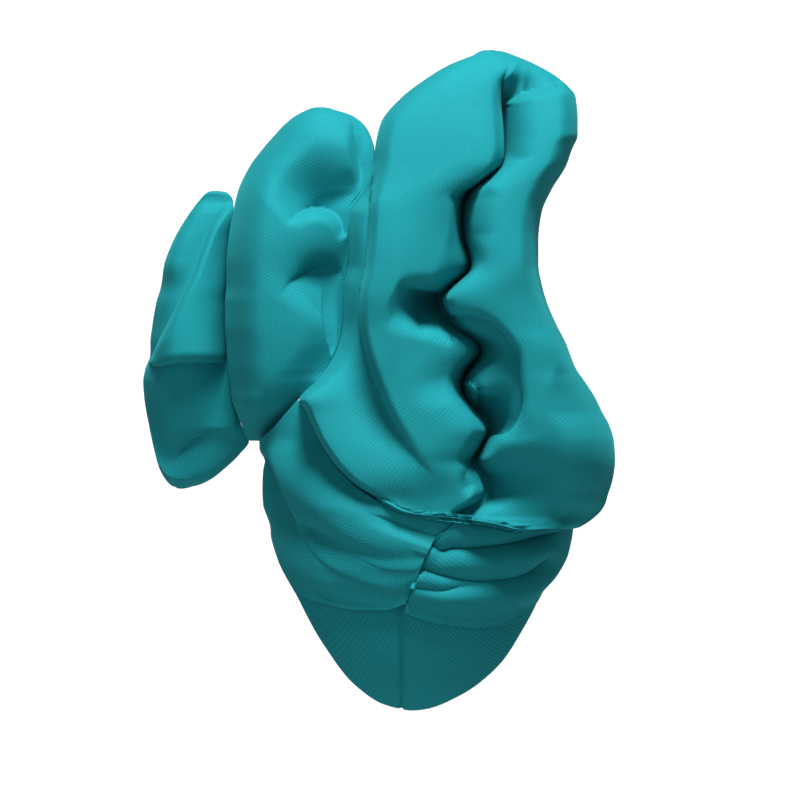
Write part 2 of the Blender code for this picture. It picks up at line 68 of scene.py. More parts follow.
# Sections of the ruffles, a row per level: up, left rim and right rim across, how far back
# the left rim and the right rim lie, swell to the front
TALL_SECTIONS = (
    (-0.192, -0.166, -0.246, 0.267, 0.159, 0.010),
    (-0.185, -0.133, -0.266, 0.272, 0.144, 0.021),
    (-0.176, -0.079, -0.279, 0.277, 0.128, 0.031),
    (-0.166, 0.008, -0.290, 0.277, 0.115, 0.041),
    (-0.153, 0.034, -0.298, 0.272, 0.108, 0.051),
    (-0.139, 0.058, -0.302, 0.259, 0.103, 0.056),
    (-0.125, 0.081, -0.307, 0.246, 0.097, 0.064),
    (-0.107, 0.101, -0.311, 0.233, 0.092, 0.072),
    (-0.087, 0.118, -0.313, 0.221, 0.087, 0.077),
    (-0.058, 0.137, -0.311, 0.203, 0.087, 0.087),
    (-0.034, 0.148, -0.304, 0.190, 0.090, 0.092),
    (-0.014, 0.157, -0.293, 0.179, 0.092, 0.097),
    (0.005, 0.168, -0.284, 0.164, 0.097, 0.103),
    (0.032, 0.144, -0.267, 0.156, 0.108, 0.105),
    (0.052, 0.127, -0.253, 0.154, 0.115, 0.108),
    (0.092, 0.107, -0.237, 0.149, 0.128, 0.108),
    (0.119, 0.102, -0.223, 0.149, 0.133, 0.105),
    (0.154, 0.101, -0.208, 0.149, 0.138, 0.103),
    (0.182, 0.099, -0.200, 0.151, 0.141, 0.100),
    (0.211, 0.093, -0.195, 0.154, 0.144, 0.097),
    (0.249, 0.093, -0.195, 0.154, 0.146, 0.095),
    (0.290, 0.090, -0.200, 0.154, 0.149, 0.092),
    (0.325, 0.067, -0.215, 0.154, 0.149, 0.092),
    (0.363, 0.055, -0.238, 0.154, 0.149, 0.090),
    (0.386, 0.053, -0.246, 0.154, 0.149, 0.087),
    (0.409, 0.049, -0.255, 0.154, 0.149, 0.085),
    (0.429, 0.043, -0.255, 0.154, 0.149, 0.082),
    (0.466, 0.012, -0.252, 0.154, 0.149, 0.072),
    (0.493, -0.023, -0.229, 0.154, 0.149, 0.056),
    (0.516, -0.061, -0.191, 0.151, 0.149, 0.041),
    (0.531, -0.098, -0.156, 0.149, 0.149, 0.023),
    (0.538, -0.113, -0.128, 0.149, 0.149, 0.008),
)
MIDDLE_SECTIONS = (
    (-0.058, 0.244, 0.232, -0.010, 0.021, 0.010),
    (-0.034, 0.258, 0.206, -0.026, 0.103, 0.036),
    (-0.014, 0.266, 0.188, -0.036, 0.138, 0.051),
    (0.005, 0.273, 0.171, -0.041, 0.159, 0.067),
    (0.032, 0.276, 0.144, -0.046, 0.159, 0.077),
    (0.052, 0.279, 0.127, -0.051, 0.154, 0.087),
    (0.092, 0.282, 0.107, -0.056, 0.144, 0.097),
    (0.119, 0.284, 0.102, -0.059, 0.141, 0.103),
    (0.154, 0.284, 0.101, -0.062, 0.138, 0.108),
    (0.182, 0.282, 0.099, -0.062, 0.138, 0.108),
    (0.211, 0.282, 0.093, -0.062, 0.138, 0.108),
    (0.249, 0.279, 0.093, -0.062, 0.138, 0.108),
    (0.290, 0.272, 0.090, -0.056, 0.133, 0.103),
    (0.325, 0.264, 0.067, -0.051, 0.128, 0.097),
    (0.363, 0.246, 0.055, -0.036, 0.118, 0.087),
    (0.386, 0.229, 0.055, -0.021, 0.108, 0.077),
    (0.409, 0.209, 0.061, -0.005, 0.092, 0.064),
    (0.429, 0.190, 0.074, 0.005, 0.077, 0.049),
    (0.441, 0.174, 0.091, 0.015, 0.062, 0.033),
    (0.449, 0.158, 0.115, 0.026, 0.046, 0.018),
    (0.4535, 0.142, 0.133, 0.031, 0.036, 0.005),
)
SIDE_SECTIONS = (
    (-0.130, 0.360, 0.348, -0.092, -0.087, 0.008),
    (-0.118, 0.376, 0.308, -0.097, -0.067, 0.021),
    (-0.102, 0.385, 0.287, -0.103, -0.051, 0.036),
    (-0.079, 0.392, 0.263, -0.113, -0.036, 0.051),
    (-0.058, 0.397, 0.248, -0.118, -0.010, 0.062),
    (-0.034, 0.402, 0.260, -0.123, -0.026, 0.072),
    (-0.014, 0.406, 0.266, -0.128, -0.036, 0.074),
    (0.005, 0.409, 0.273, -0.133, -0.041, 0.077),
    (0.032, 0.411, 0.276, -0.138, -0.046, 0.082),
    (0.052, 0.408, 0.279, -0.138, -0.051, 0.082),
    (0.075, 0.400, 0.2805, -0.138, -0.053, 0.082),
    (0.092, 0.400, 0.282, -0.138, -0.056, 0.082),
    (0.119, 0.397, 0.284, -0.138, -0.059, 0.082),
    (0.154, 0.391, 0.284, -0.133, -0.062, 0.082),
    (0.182, 0.383, 0.282, -0.131, -0.062, 0.079),
    (0.211, 0.379, 0.282, -0.128, -0.062, 0.077),
    (0.249, 0.365, 0.279, -0.123, -0.062, 0.069),
    (0.290, 0.341, 0.272, -0.118, -0.056, 0.056),
    (0.310, 0.326, 0.273, -0.113, -0.082, 0.038),
    (0.324, 0.313, 0.282, -0.108, -0.087, 0.018),
    (0.327, 0.305, 0.296, -0.103, -0.092, 0.005),
)

# Main crease between the tall ruffle's two tubes, a row per level: up, share of the way down
# to the rims that it is cut, across, radii of the rolled lips to its left and right
TALL_CREASE = (
    (-0.192, 1, -0.098, 0.031, 0.038),
    (-0.179, 1, -0.087, 0.031, 0.038),
    (-0.168, 1, -0.079, 0.031, 0.038),
    (-0.16, 1, -0.092, 0.027, 0.046),
    (-0.148, 1, -0.11, 0.023, 0.054),
    (-0.133, 1, -0.116, 0.023, 0.054),
    (-0.118, 1, -0.113, 0.023, 0.046),
    (-0.102, 1, -0.104, 0.023, 0.031),
    (-0.089, 1, -0.092, 0.027, 0.027),
    (-0.075, 1, -0.104, 0.031, 0.027),
    (-0.056, 1, -0.113, 0.031, 0.027),
    (-0.044, 1, -0.121, 0.027, 0.031),
    (-0.029, 1, -0.115, 0.023, 0.054),
    (-0.015, 1, -0.102, 0.023, 0.062),
    (-0.003, 1, -0.092, 0.023, 0.062),
    (0.012, 1, -0.081, 0.023, 0.054),
    (0.027, 1, -0.079, 0.027, 0.031),
    (0.043, 1, -0.084, 0.027, 0.031),
    (0.056, 1, -0.092, 0.027, 0.035),
    (0.066, 1, -0.101, 0.027, 0.038),
    (0.078, 1, -0.108, 0.023, 0.046),
    (0.087, 1, -0.107, 0.023, 0.046),
    (0.096, 1, -0.099, 0.027, 0.046),
    (0.104, 1, -0.084, 0.031, 0.035),
    (0.111, 1, -0.072, 0.046, 0.023),
    (0.119, 1, -0.067, 0.062, 0.019),
    (0.13, 1, -0.061, 0.062, 0.019),
    (0.145, 1, -0.052, 0.054, 0.019),
    (0.157, 1, -0.047, 0.046, 0.019),
    (0.166, 1, -0.05, 0.038, 0.019),
    (0.176, 1, -0.061, 0.038, 0.019),
    (0.188, 1, -0.076, 0.05, 0.019),
    (0.203, 1, -0.092, 0.054, 0.023),
    (0.215, 1, -0.093, 0.05, 0.027),
    (0.234, 1, -0.087, 0.038, 0.035),
    (0.249, 1, -0.082, 0.027, 0.05),
    (0.272, 1, -0.078, 0.019, 0.069),
    (0.302, 1, -0.079, 0.019, 0.069),
    (0.318, 1, -0.082, 0.027, 0.062),
    (0.328, 1, -0.098, 0.015, 0.023),
    (0.34, 1, -0.116, 0.015, 0.019),
    (0.353, 1, -0.13, 0.015, 0.019),
    (0.363, 1, -0.142, 0.023, 0.031),
    (0.386, 1, -0.144, 0.017, 0.077),
    (0.432, 1, -0.142, 0.017, 0.077),
    (0.455, 0.95, -0.14, 0.017, 0.054),
    (0.475, 0.75, -0.14, 0.019, 0.046),
    (0.493, 0.35, -0.142, 0.031, 0.046),
    (0.508, 0.1, -0.147, 0.046, 0.054),
    (0.524, 0.0, -0.151, 0.054, 0.054),
)

# Crowns of the ruffles, a row per level: up, how far back the tubes stand
TALL_CROWN = (
    (-0.195, 0.292),
    (-0.169, 0.3),
    (-0.128, 0.303),
    (0.0, 0.305),
    (0.103, 0.313),
    (0.195, 0.323),
    (0.29, 0.313),
    (0.385, 0.288),
    (0.469, 0.249),
    (0.513, 0.21),
    (0.538, 0.164),
)

MIDDLE_CROWN = (
    (-0.059, 0.023),
    (-0.033, 0.087),
    (0.0, 0.144),
    (0.051, 0.167),
    (0.128, 0.179),
    (0.231, 0.182),
    (0.333, 0.167),
    (0.39, 0.146),
    (0.423, 0.123),
    (0.441, 0.097),
    (0.451, 0.067),
)

SIDE_CROWN = (
    (-0.131, -0.108),
    (-0.118, -0.082),
    (-0.097, -0.062),
    (-0.051, -0.033),
    (0.026, 0.0),
    (0.072, 0.013),
    (0.154, 0.008),
    (0.249, -0.013),
    (0.29, -0.031),
    (0.313, -0.062),
    (0.328, -0.097),
)

# Folds, a row each: run as (across, up), depth, widths to its left and right, their kinds,
# the lengths it fades in and out over, how far its roll laps over it, and the tube that has
# it: 0 for any, 1 for the left or only one, 2 for the right one.
# Dents, a row each: across, up, half length, half width, tilt in degrees, depth (minus is a
# swell), and the tube that has it
TALL_FOLDS = (
    (((0.055, 0.363), (0.06, 0.31), (0.063, 0.256), (0.069, 0.206), (0.076, 0.169),
      (0.078, 0.127), (0.073, 0.093), (0.064, 0.058), (0.049, 0.017), (0.024, -0.032),
      (-0.009, -0.081), (-0.046, -0.121)),
     0.077, 0.015, 0.154, ROLL, SLOPE, 0.036, 0.231, 0.0, 1),
    (((0.02, 0.185), (0.008, 0.179), (-0.005, 0.173), (-0.021, 0.171), (-0.04, 0.168),
      (-0.056, 0.163), (-0.079, 0.157)),
     0.087, 0.026, 0.077, ROLL, SLOPE, 0.044, 0.003, 0.005, 1),
    (((-0.082, 0.325), (-0.078, 0.264), (-0.07, 0.188), (-0.069, 0.111), (-0.082, 0.05),
      (-0.092, -0.002)),
     0.028, 0.077, 0.103, SLOPE, SLOPE, 0.128, 0.051, 0.0, 1),
    (((-0.002, 0.173), (-0.003, 0.154), (-0.006, 0.136), (-0.014, 0.115), (-0.027, 0.096)),
     0.023, 0.051, 0.018, SLOPE, ROLL, 0.01, 0.036, 0.0, 1),
    (((-0.098, 0.328), (-0.082, 0.31), (-0.078, 0.282), (-0.079, 0.252), (-0.085, 0.231),
      (-0.095, 0.212)),
     0.046, 0.028, 0.008, ROLL, ROLL, 0.015, 0.021, 0.0, 2),
    (((-0.144, 0.456), (-0.144, 0.417), (-0.144, 0.386), (-0.142, 0.365)),
     0.041, 0.026, 0.008, ROLL, ROLL, 0.005, 0.015, 0.0, 2),
    (((-0.031, 0.118), (-0.055, 0.13), (-0.073, 0.134), (-0.092, 0.133), (-0.108, 0.13),
      (-0.127, 0.119), (-0.144, 0.102), (-0.157, 0.084), (-0.165, 0.067), (-0.169, 0.027),
      (-0.171, 0.005), (-0.168, -0.018), (-0.157, -0.037), (-0.142, -0.047), (-0.119, -0.049),
      (-0.092, -0.044)),
     0.038, 0.012, 0.179, ROLL, SLOPE, 0.015, 0.003, 0.003, 2),
    (((-0.061, 0.038), (-0.082, 0.026), (-0.104, 0.015), (-0.128, 0.009), (-0.156, 0.008)),
     0.023, 0.015, 0.067, ROLL, SLOPE, 0.003, 0.031, 0.002, 2),
    (((-0.069, -0.069), (-0.089, -0.087), (-0.105, -0.099), (-0.122, -0.107), (-0.142, -0.111),
      (-0.168, -0.111), (-0.206, -0.105), (-0.244, -0.087)),
     0.049, 0.056, 0.072, SOFT, SLOPE, 0.003, 0.128, 0.0, 2),
    (((-0.11, -0.069), (-0.098, -0.082), (-0.089, -0.093), (-0.082, -0.108), (-0.082, -0.127),
      (-0.092, -0.145)),
     0.013, 0.056, 0.013, SLOPE, ROLL, 0.01, 0.021, 0.0, 1),
    (((-0.269, 0.015), (-0.279, -0.034), (-0.281, -0.079), (-0.273, -0.118), (-0.258, -0.148),
      (-0.229, -0.174), (-0.195, -0.188)),
     0.004, 0.036, 0.004, SLOPE, ROLL, 0.021, 0.021, 0.0, 2),
    (((-0.119, 0.45), (-0.137, 0.456), (-0.153, 0.463), (-0.168, 0.469), (-0.18, 0.473),
      (-0.198, 0.478), (-0.217, 0.481), (-0.235, 0.487)),
     0.041, 0.179, 0.015, SLOPE, ROLL, 0.003, 0.013, 0.0, 2),
    (((-0.176, 0.469), (-0.18, 0.493), (-0.185, 0.524)),
     0.023, 0.01, 0.041, SOFT, SLOPE, 0.003, 0.01, 0.0, 2),
)

TALL_DENTS = (
    (-0.128, -0.02, 0.037, 0.023, 70, 0.038, 2),
    (-0.034, 0.148, 0.023, 0.018, 0, 0.031, 1),
    (-0.148, 0.481, 0.021, 0.012, 80, 0.021, 2),
    (-0.229, -0.197, 0.113, 0.092, 0, 0.072, 2),
    (-0.012, -0.169, 0.113, 0.052, 25, 0.026, 1),
)

MIDDLE_FOLDS = (
    (((0.192, 0.27), (0.174, 0.285), (0.156, 0.296), (0.136, 0.298), (0.116, 0.29),
      (0.102, 0.276), (0.092, 0.255)),
     0.092, 0.118, 0.023, SOFT, ROLL, 0.067, 0.013, 0.0, 0),
    (((0.052, 0.185), (0.089, 0.189), (0.11, 0.203), (0.122, 0.209), (0.136, 0.211),
      (0.151, 0.206), (0.168, 0.195), (0.185, 0.182), (0.205, 0.157)),
     0.046, 0.164, 0.077, SLOPE, ROLL, 0.003, 0.087, 0.004, 0),
    (((0.098, 0.456), (0.089, 0.426), (0.085, 0.395), (0.078, 0.365), (0.067, 0.325),
      (0.06, 0.292)),
     0.077, 0.154, 0.015, SLOPE, ROLL, 0.154, 0.036, 0.0, 0),
)

MIDDLE_DENTS = (
    (0.226, 0.38, 0.046, 0.008, 60, 0.003, 0),
)

SIDE_FOLDS = (
    (((0.256, 0.344), (0.27, 0.325), (0.287, 0.302), (0.302, 0.279), (0.313, 0.256),
      (0.324, 0.226), (0.336, 0.195), (0.351, 0.165), (0.366, 0.134), (0.382, 0.104),
      (0.4, 0.067), (0.415, 0.038)),
     0.072, 0.013, 0.067, ROLL, SLOPE, 0.008, 0.031, 0.003, 0),
    (((0.421, 0.072), (0.406, 0.064), (0.389, 0.058), (0.369, 0.06), (0.351, 0.063),
      (0.328, 0.064), (0.305, 0.064), (0.253, 0.064)),
     0.036, 0.015, 0.615, ROLL, SLOPE, 0.026, 0.003, 0.004, 0),
    (((0.238, -0.032), (0.263, -0.032), (0.29, -0.038), (0.308, -0.044), (0.328, -0.055),
      (0.348, -0.069), (0.36, -0.087), (0.371, -0.11)),
     0.051, 0.154, 0.01, SLOPE, ROLL, 0.003, 0.021, 0.003, 0),
)

SIDE_DENTS = (
    (0.299, -0.118, 0.067, 0.049, 20, 0.082, 0),
    (0.293, 0.316, 0.021, 0.014, 60, 0.023, 0),
)

LEFT_DRAPE_FOLDS = (
    (((0.076, -0.162), (0.015, -0.183), (-0.053, -0.205), (-0.073, -0.198), (-0.087, -0.176)),
     0.023, 0.023, 0.023, ROLL, SLOPE, 0.103, 0.005, 0.004, 0),
    (((0.183, -0.166), (0.162, -0.189), (0.102, -0.224), (0.075, -0.238), (0.037, -0.253),
      (-0.011, -0.255), (-0.029, -0.246), (-0.034, -0.234)),
     0.046, 0.046, 0.026, ROLL, SLOPE, 0.077, 0.003, 0.006, 0),
    (((0.235, -0.072), (0.211, -0.118), (0.189, -0.174), (0.174, -0.203), (0.137, -0.24),
      (0.089, -0.266), (0.015, -0.289), (-0.012, -0.295)),
     0.044, 0.023, 0.067, ROLL, SOFT, 0.021, 0.051, 0.004, 0),
    (((0.162, -0.263), (0.122, -0.296), (0.075, -0.31), (0.029, -0.315), (0.005, -0.311),
      (-0.012, -0.301)),
     0.033, 0.031, 0.015, ROLL, ROLL, 0.051, 0.003, 0.003, 0),
)

LEFT_DRAPE_DENTS = (
    (0.125, -0.148, 0.092, 0.034, -38, -0.021, 0),
)

RIGHT_DRAPE_FOLDS = (
    (((-0.034, -0.211), (-0.049, -0.224), (-0.07, -0.221), (-0.113, -0.22), (-0.177, -0.211),
      (-0.238, -0.195)),
     0.036, 0.031, 0.026, ROLL, ROLL, 0.003, 0.041, 0.004, 0),
    (((-0.014, -0.249), (-0.049, -0.261), (-0.092, -0.269), (-0.134, -0.27), (-0.177, -0.264),
      (-0.209, -0.247), (-0.226, -0.226)),
     0.036, 0.036, 0.026, ROLL, ROLL, 0.003, 0.041, 0.004, 0),
    (((-0.006, -0.279), (-0.049, -0.285), (-0.092, -0.281), (-0.137, -0.285)),
     0.013, 0.021, 0.021, ROLL, ROLL, 0.003, 0.077, 0.0, 0),
    (((0.012, -0.319), (-0.049, -0.337), (-0.081, -0.342), (-0.113, -0.34), (-0.156, -0.327),
      (-0.183, -0.307)),
     0.021, 0.031, 0.013, ROLL, ROLL, 0.003, 0.026, 0.003, 0),
)

# Girths of the drapes, a row per level: up, half width, half depth
LEFT_DRAPE_GIRTH = (
    (-0.331, 0.200, 0.249), (-0.301, 0.205, 0.259), (-0.263, 0.213, 0.272),
    (-0.246, 0.215, 0.277), (-0.209, 0.223, 0.282), (-0.171, 0.228, 0.279),
    (-0.133, 0.233, 0.269), (-0.079, 0.236, 0.251), (-0.058, 0.238, 0.236),
    (-0.034, 0.246, 0.223), (0.005, 0.256, 0.210), (0.035, 0.267, 0.200),
)
RIGHT_DRAPE_GIRTH = (
    (-0.362, 0.197, 0.244), (-0.340, 0.205, 0.251), (-0.308, 0.215, 0.264),
    (-0.293, 0.223, 0.269), (-0.263, 0.236, 0.277), (-0.224, 0.246, 0.282),
    (-0.192, 0.251, 0.282), (-0.156, 0.251, 0.277),
)

# The gathered seam between the drapes: up, across
SEAM = (
    (-0.345, 0.014), (-0.313, 0.008), (-0.280, -0.006), (-0.245, -0.020), (-0.210, -0.038),
    (-0.182, -0.066), (-0.156, -0.092),
)

# Lower edges of the drapes: share of the way round from the seam, up
LEFT_DRAPE_EDGE = (
    (0.00, -0.305), (0.06, -0.315), (0.15, -0.315), (0.30, -0.305), (0.42, -0.292),
    (0.50, -0.262), (0.56, -0.240), (0.64, -0.213), (0.75, -0.190), (1.00, -0.145),
)
RIGHT_DRAPE_EDGE = (
    (0.00, -0.319), (0.10, -0.334), (0.25, -0.342), (0.40, -0.337), (0.52, -0.313),
    (0.66, -0.258), (0.80, -0.209), (1.00, -0.148),
)

# Centre back seam of the hood: across, then in metres the depth and half width of its groove,
# and the depth and half width that the cloth beside it is drawn in over
HOOD_SEAM = {"across": 0.014, "groove": (0.0030, 0.0010), "drawn": (0.0012, 0.006)}
HOOD_BACK = (0.02, 0.03)    # in metres: where the seam starts behind the middle, and its blend
HOOD_TOP = 0.02             # top ring, as a share of the way from the crown to the hem
HOOD_LEVEL_CUT = 0.3        # upward share of a cut's direction: 1 is square to the hood
HOOD = {"columns": 300, "rows": 120, "lean": 0.9, "flat": (0.56, 0.27), "area": 0.062}

# Unevenness of the cloth: length and height of its slow waves, the hood's in metres
HOOD_SLACK = (0.06, 0.0009)
RUFFLE_SLACK = (0.13, 0.0012)
DRAPE_SLACK = (0.09, 0.0016)

# Tubes of the ruffles
RUFFLE_ROWS = 205
EVEN_LEVELS = 0.55      # share of the levels' spacing that is even; the rest crowds the ends
END_REACH = 0.045       # how near an end a section starts to close as a circle does
END_BLEND = 0.018       # and how soon it does so wholly
BROAD_ROLL = 0.085      # width of the broad roundness of a tube's edges
NEAR_ROLL = 0.7         # share of an edge's rise that its narrow roundness has
LEAST_RISE = 0.014      # what the folds leave of a tube's rise
NARROW_TUBE = 0.05      # a tube narrower than this is flatter
FOLD_FADE = 2.4         # how soon the folds show beside a rim
LAP_ROOM = 0.03         # a fold's lap fades where a tube's rise leaves it less room than this
FOOT_RIM_TOP = -0.010   # where the foot's rims start to grow into the rims above
FOOT_RIM_BLEND = 0.07

# Main crease
CREASE_BLUR = 0.008     # half the height that its table is smoothed over
CREASE_MARGIN = 0.001   # least way from the left rim
CREASE_REACH = 0.03     # how near the left rim its floor takes up the rim's own depth
POLE_LEVEL = 0.5        # above it the crease keeps off the right rim
POLE_BLEND = 0.03
POLE_SHARE = 0.3        # share of the width that it keeps off by

# Ruffles: columns of each tube and of the front, radii of the left and right rim, the same at
# the foot, how many tucks its right rim goes forward, seed of its unevenness, lean of the
# wales in radians, size of the cloth laid flat in metres
RUFFLES = (
    {"name": "tall_ruffle_cloth", "node": "tall_ruffle", "sections": TALL_SECTIONS,
     "crown": TALL_CROWN, "crease": TALL_CREASE, "folds": TALL_FOLDS, "dents": TALL_DENTS,
     "columns": (100, 100, 42), "rim": (0.026, 0.03), "foot_rim": (0.010, 0.085),
     "tuck": 0.0, "seed": 1.0, "lean": 0.75, "flat": (0.41, 0.36)},
    {"name": "middle_ruffle_cloth", "node": "middle_ruffle", "sections": MIDDLE_SECTIONS,
     "crown": MIDDLE_CROWN, "crease": None, "folds": MIDDLE_FOLDS, "dents": MIDDLE_DENTS,
     "columns": (154, 36), "rim": (0.06, 0.06), "foot_rim": (0.06, 0.02),
     "tuck": 0.8, "seed": 2.0, "lean": -0.5, "flat": (0.27, 0.24)},
    {"name": "side_ruffle_cloth", "node": "side_ruffle", "sections": SIDE_SECTIONS,
     "crown": SIDE_CROWN, "crease": None, "folds": SIDE_FOLDS, "dents": SIDE_DENTS,
     "columns": (124, 30), "rim": (0.045, 0.095), "foot_rim": (0.045, 0.095),
     "tuck": 1.2, "seed": 3.0, "lean": 0.4, "flat": (0.22, 0.17)},
)

# Drapes, in degrees round from the nape: where they stop, and over how much they leave the
# ruffles' rims for the brow
DRAPE_END = 130.0
SIDE_BLEND = 16.0
FRONT_TOP = -0.030      # how high the drapes reach beside the brow
TOP_START = -0.15       # first guess of the upper edge, and how often it is bettered
TOP_ROUNDS = 60
RIM_STEP = 0.003        # half the width that a rim's slope is read over
RIMS_MEET = 0.005       # how high the tall and the middle ruffle meet
RIM_ENDS = 0.4          # how far out to both sides the rims are read
RIM_POINTS = 300
# Under the tall ruffle's foot the drapes keep further off: from and to across, with their
# blends, and how many more gaps
FOOT_FROM = -0.23
FOOT_FROM_BLEND = 0.04
FOOT_TO = 0.10
FOOT_TO_BLEND = 0.05
FOOT_GAPS = 6
CLOSE_FROM = 0.62       # share of the way round from which a drape closes on the hood
SEAM_SHARE = 0.02       # share of the way round over which the folds' laps grow from the seam
FOLD_TURN = 1.57        # in radians from the nape: where the folds stop, and their blend
FOLD_TURN_BLEND = 0.4
# Heights in metres: of the turned in top beside the brow, of the lower edge's rise off the
# hood, and of the strips along the edges where the folds grow
CURL_HEIGHT = 0.022
HEM_HEIGHT = 0.016
EDGE_HEIGHT = 0.006

# Drapes: hand (1 is left), degrees round from the nape where the top leaves the ruffles, seed
# of its unevenness, lean of the wales in radians, size of the cloth laid flat in metres
DRAPE_COLUMNS = 280
DRAPE_ROWS = 140
DRAPES = (
    {"name": "left_drape_cloth", "node": "left_back_drape", "hand": 1.0, "side": 82.0,
     "girth": LEFT_DRAPE_GIRTH, "edge": LEFT_DRAPE_EDGE, "folds": LEFT_DRAPE_FOLDS,
     "dents": LEFT_DRAPE_DENTS, "seed": 4.0, "lean": 0.3, "flat": (0.26, 0.08)},
    {"name": "right_drape_cloth", "node": "right_back_drape", "hand": -1.0, "side": 95.0,
     "girth": RIGHT_DRAPE_GIRTH, "edge": RIGHT_DRAPE_EDGE, "folds": RIGHT_DRAPE_FOLDS,
     "dents": (), "seed": 5.0, "lean": -0.3, "flat": (0.25, 0.065)},
)

# Noises of the knit: scale, detail, roughness
WANDER = (38.0, 2.0, 0.5)
FUZZ = (900.0, 3.0, 0.6)
MOTTLE = (14.0, 4.0, 0.55)
# Weave: how far the wales drift, courses to a wale, the heights of wale and course waves
DRIFT = 2.0
COURSE_RATE = 0.72
WALE_HEIGHT = 0.32
COURSE_HEIGHT = 0.18
# Tone between the two colours: shares of fuzz and mottle, and what it starts from
FUZZ_TONE = 0.35
MOTTLE_TONE = 0.55
FIRST_TONE = -0.25
FUZZ_HEIGHT = 0.5       # share of the fuzz in the relief of the knit
RELIEF_STRENGTH = 0.35
RELIEF_DEPTH = 0.00022  # in metres
# Roughness, the share of the mottle in it, the mirror shine and the bloom's roughness
ROUGHNESS = 0.78
MOTTLE_ROUGHNESS = 0.10
SHINE = 0.14
SHEEN_ROUGHNESS = 0.45

AIM = Vector((0.0, 0.03, 0.02))
BACKDROP = Vector((0.0, -11.0, 0.2))
# Lights, a row each: name, place in metres, what it is turned to, diameter in metres, watts
LIGHTS = (
    ("key", (-0.12, 1.15, 2.1), AIM, 0.9, 95.0),
    ("fill", (0.7, 2.5, 0.7), AIM, 1.6, 9.0),
    ("backdrop_left", (1.9, -8.4, 1.6), BACKDROP, 1.2, 88.0),
    ("backdrop_right", (-1.9, -8.4, 1.6), BACKDROP, 1.2, 88.0),
)
SURROUND = 0.12         # strength of the pale surround
# Floor, in metres: its level under the crown, half width, near end, where it starts to bend
# up behind the cap, the bend's radius, top of the wall
FLOOR_LEVEL = -1.60
FLOOR_HALF = 6.0
FLOOR_NEAR = 6.0
FLOOR_BEND = -9.8
FLOOR_RADIUS = 1.2
FLOOR_TOP = 5.0
# Camera, in metres: its distance, the width it takes in and the point it looks at
CAMERA_DISTANCE = 9.0
VIEW_WIDTH = 0.4762
CENTRE = Vector((0.00595, 0.05, 0.00179))

TINY = 1e-6             # keeps a division from failing


def ease(t):
    """Smooth step from 0 to 1: 3 t^2 - 2 t^3."""
    t = np.clip(t, 0.0, 1.0)
    return t * t * (3.0 - 2.0 * t)


def curve(table, key):
    """Monotone cubic (Hermite with harmonic mean slopes) through a table's rows, read at its
    first column."""
    rows = np.array(table, float)
    knots = rows[:, 0]
    key = np.clip(key, knots[0], knots[-1])
    step = np.diff(knots)
    slope = np.diff(rows[:, 1:], axis=0) / step[:, None]
    tangent = np.empty_like(rows[:, 1:])
    tangent[0] = slope[0]
    tangent[-1] = slope[-1]
    before = (2 * step[1:] + step[:-1])[:, None]
    after = (step[1:] + 2 * step[:-1])[:, None]
    same = slope[:-1] * slope[1:] > 0
    low = np.where(same, slope[:-1], 1.0)
    high = np.where(same, slope[1:], 1.0)
    mean = (before + after) / np.where(same, before / low + after / high, 1.0)
    tangent[1:-1] = np.where(same, mean, 0.0)
    at = np.clip(np.searchsorted(knots, key, side="right") - 1, 0, len(knots) - 2)
    f = ((key - knots[at]) / step[at])[..., None]
    h = step[at][..., None]
    return ((1 + 2 * f) * (1 - f) ** 2 * rows[at, 1:] + f * (1 - f) ** 2 * h * tangent[at]
            + f * f * (3 - 2 * f) * rows[at + 1, 1:] + f * f * (f - 1) * h * tangent[at + 1])


def run_of(points):
    """Smooth run (Catmull-Rom) through a few points, ten steps between each two."""
    knots = np.array(points, float)
    count = len(knots)
    t = np.linspace(0, count - 1, 10 * (count - 1) + 1)
    at = np.minimum(t.astype(int), count - 2)
    f = (t - at)[:, None]
    ends = np.vstack([2 * knots[0] - knots[1], knots, 2 * knots[-1] - knots[-2]])
    a, b, c, d = ends[at], ends[at + 1], ends[at + 2], ends[at + 3]
    return b + 0.5 * f * ((c - a) + f * ((2 * a - 5 * b + 4 * c - d)
                                         + f * (3 * (b - c) + d - a)))


def off_run(across, up, points):
    """Nearest point of a run: offsets to it, distance, which hand it lies on (plus is the
    right hand as the run is followed in the view from behind), place along and full length."""
    run = run_of(points)
    best = np.full(across.shape, np.inf)
    gap_x = np.zeros(across.shape)
    gap_z = np.zeros(across.shape)
    hand = np.zeros(across.shape)
    place = np.zeros(across.shape)
    done = 0.0
    for start, end in zip(run[:-1], run[1:]):
        ax, az = end - start
        length = math.hypot(ax, az)
        dx = across - start[0]
        dz = up - start[1]
        f = np.clip((dx * ax + dz * az) / length ** 2, 0, 1)
        ox = dx - f * ax
        oz = dz - f * az
        distance = np.hypot(ox, oz)
        near = distance < best
        best = np.where(near, distance, best)
        gap_x = np.where(near, ox, gap_x)
        gap_z = np.where(near, oz, gap_z)
        hand = np.where(near, ax * dz - az * dx, hand)
        place = np.where(near, done + f * length, place)
        done += length
    return gap_x, gap_z, best, hand, place, done


def edge_shape(t, kind):
    """Share of a fold's depth at t widths from its run: a quarter circle for a roll, a smooth
    step for a slope, a bell for a soft edge."""
    roll = 1 - np.sqrt(np.clip(1 - (1 - t) ** 2, 0, 1))
    slope = (1 - t) ** 2 * (1 + 2 * t)
    soft = 0.5 * roll + 0.5 * slope
    return np.where(kind == ROLL, roll, np.where(kind == SLOPE, slope, soft))


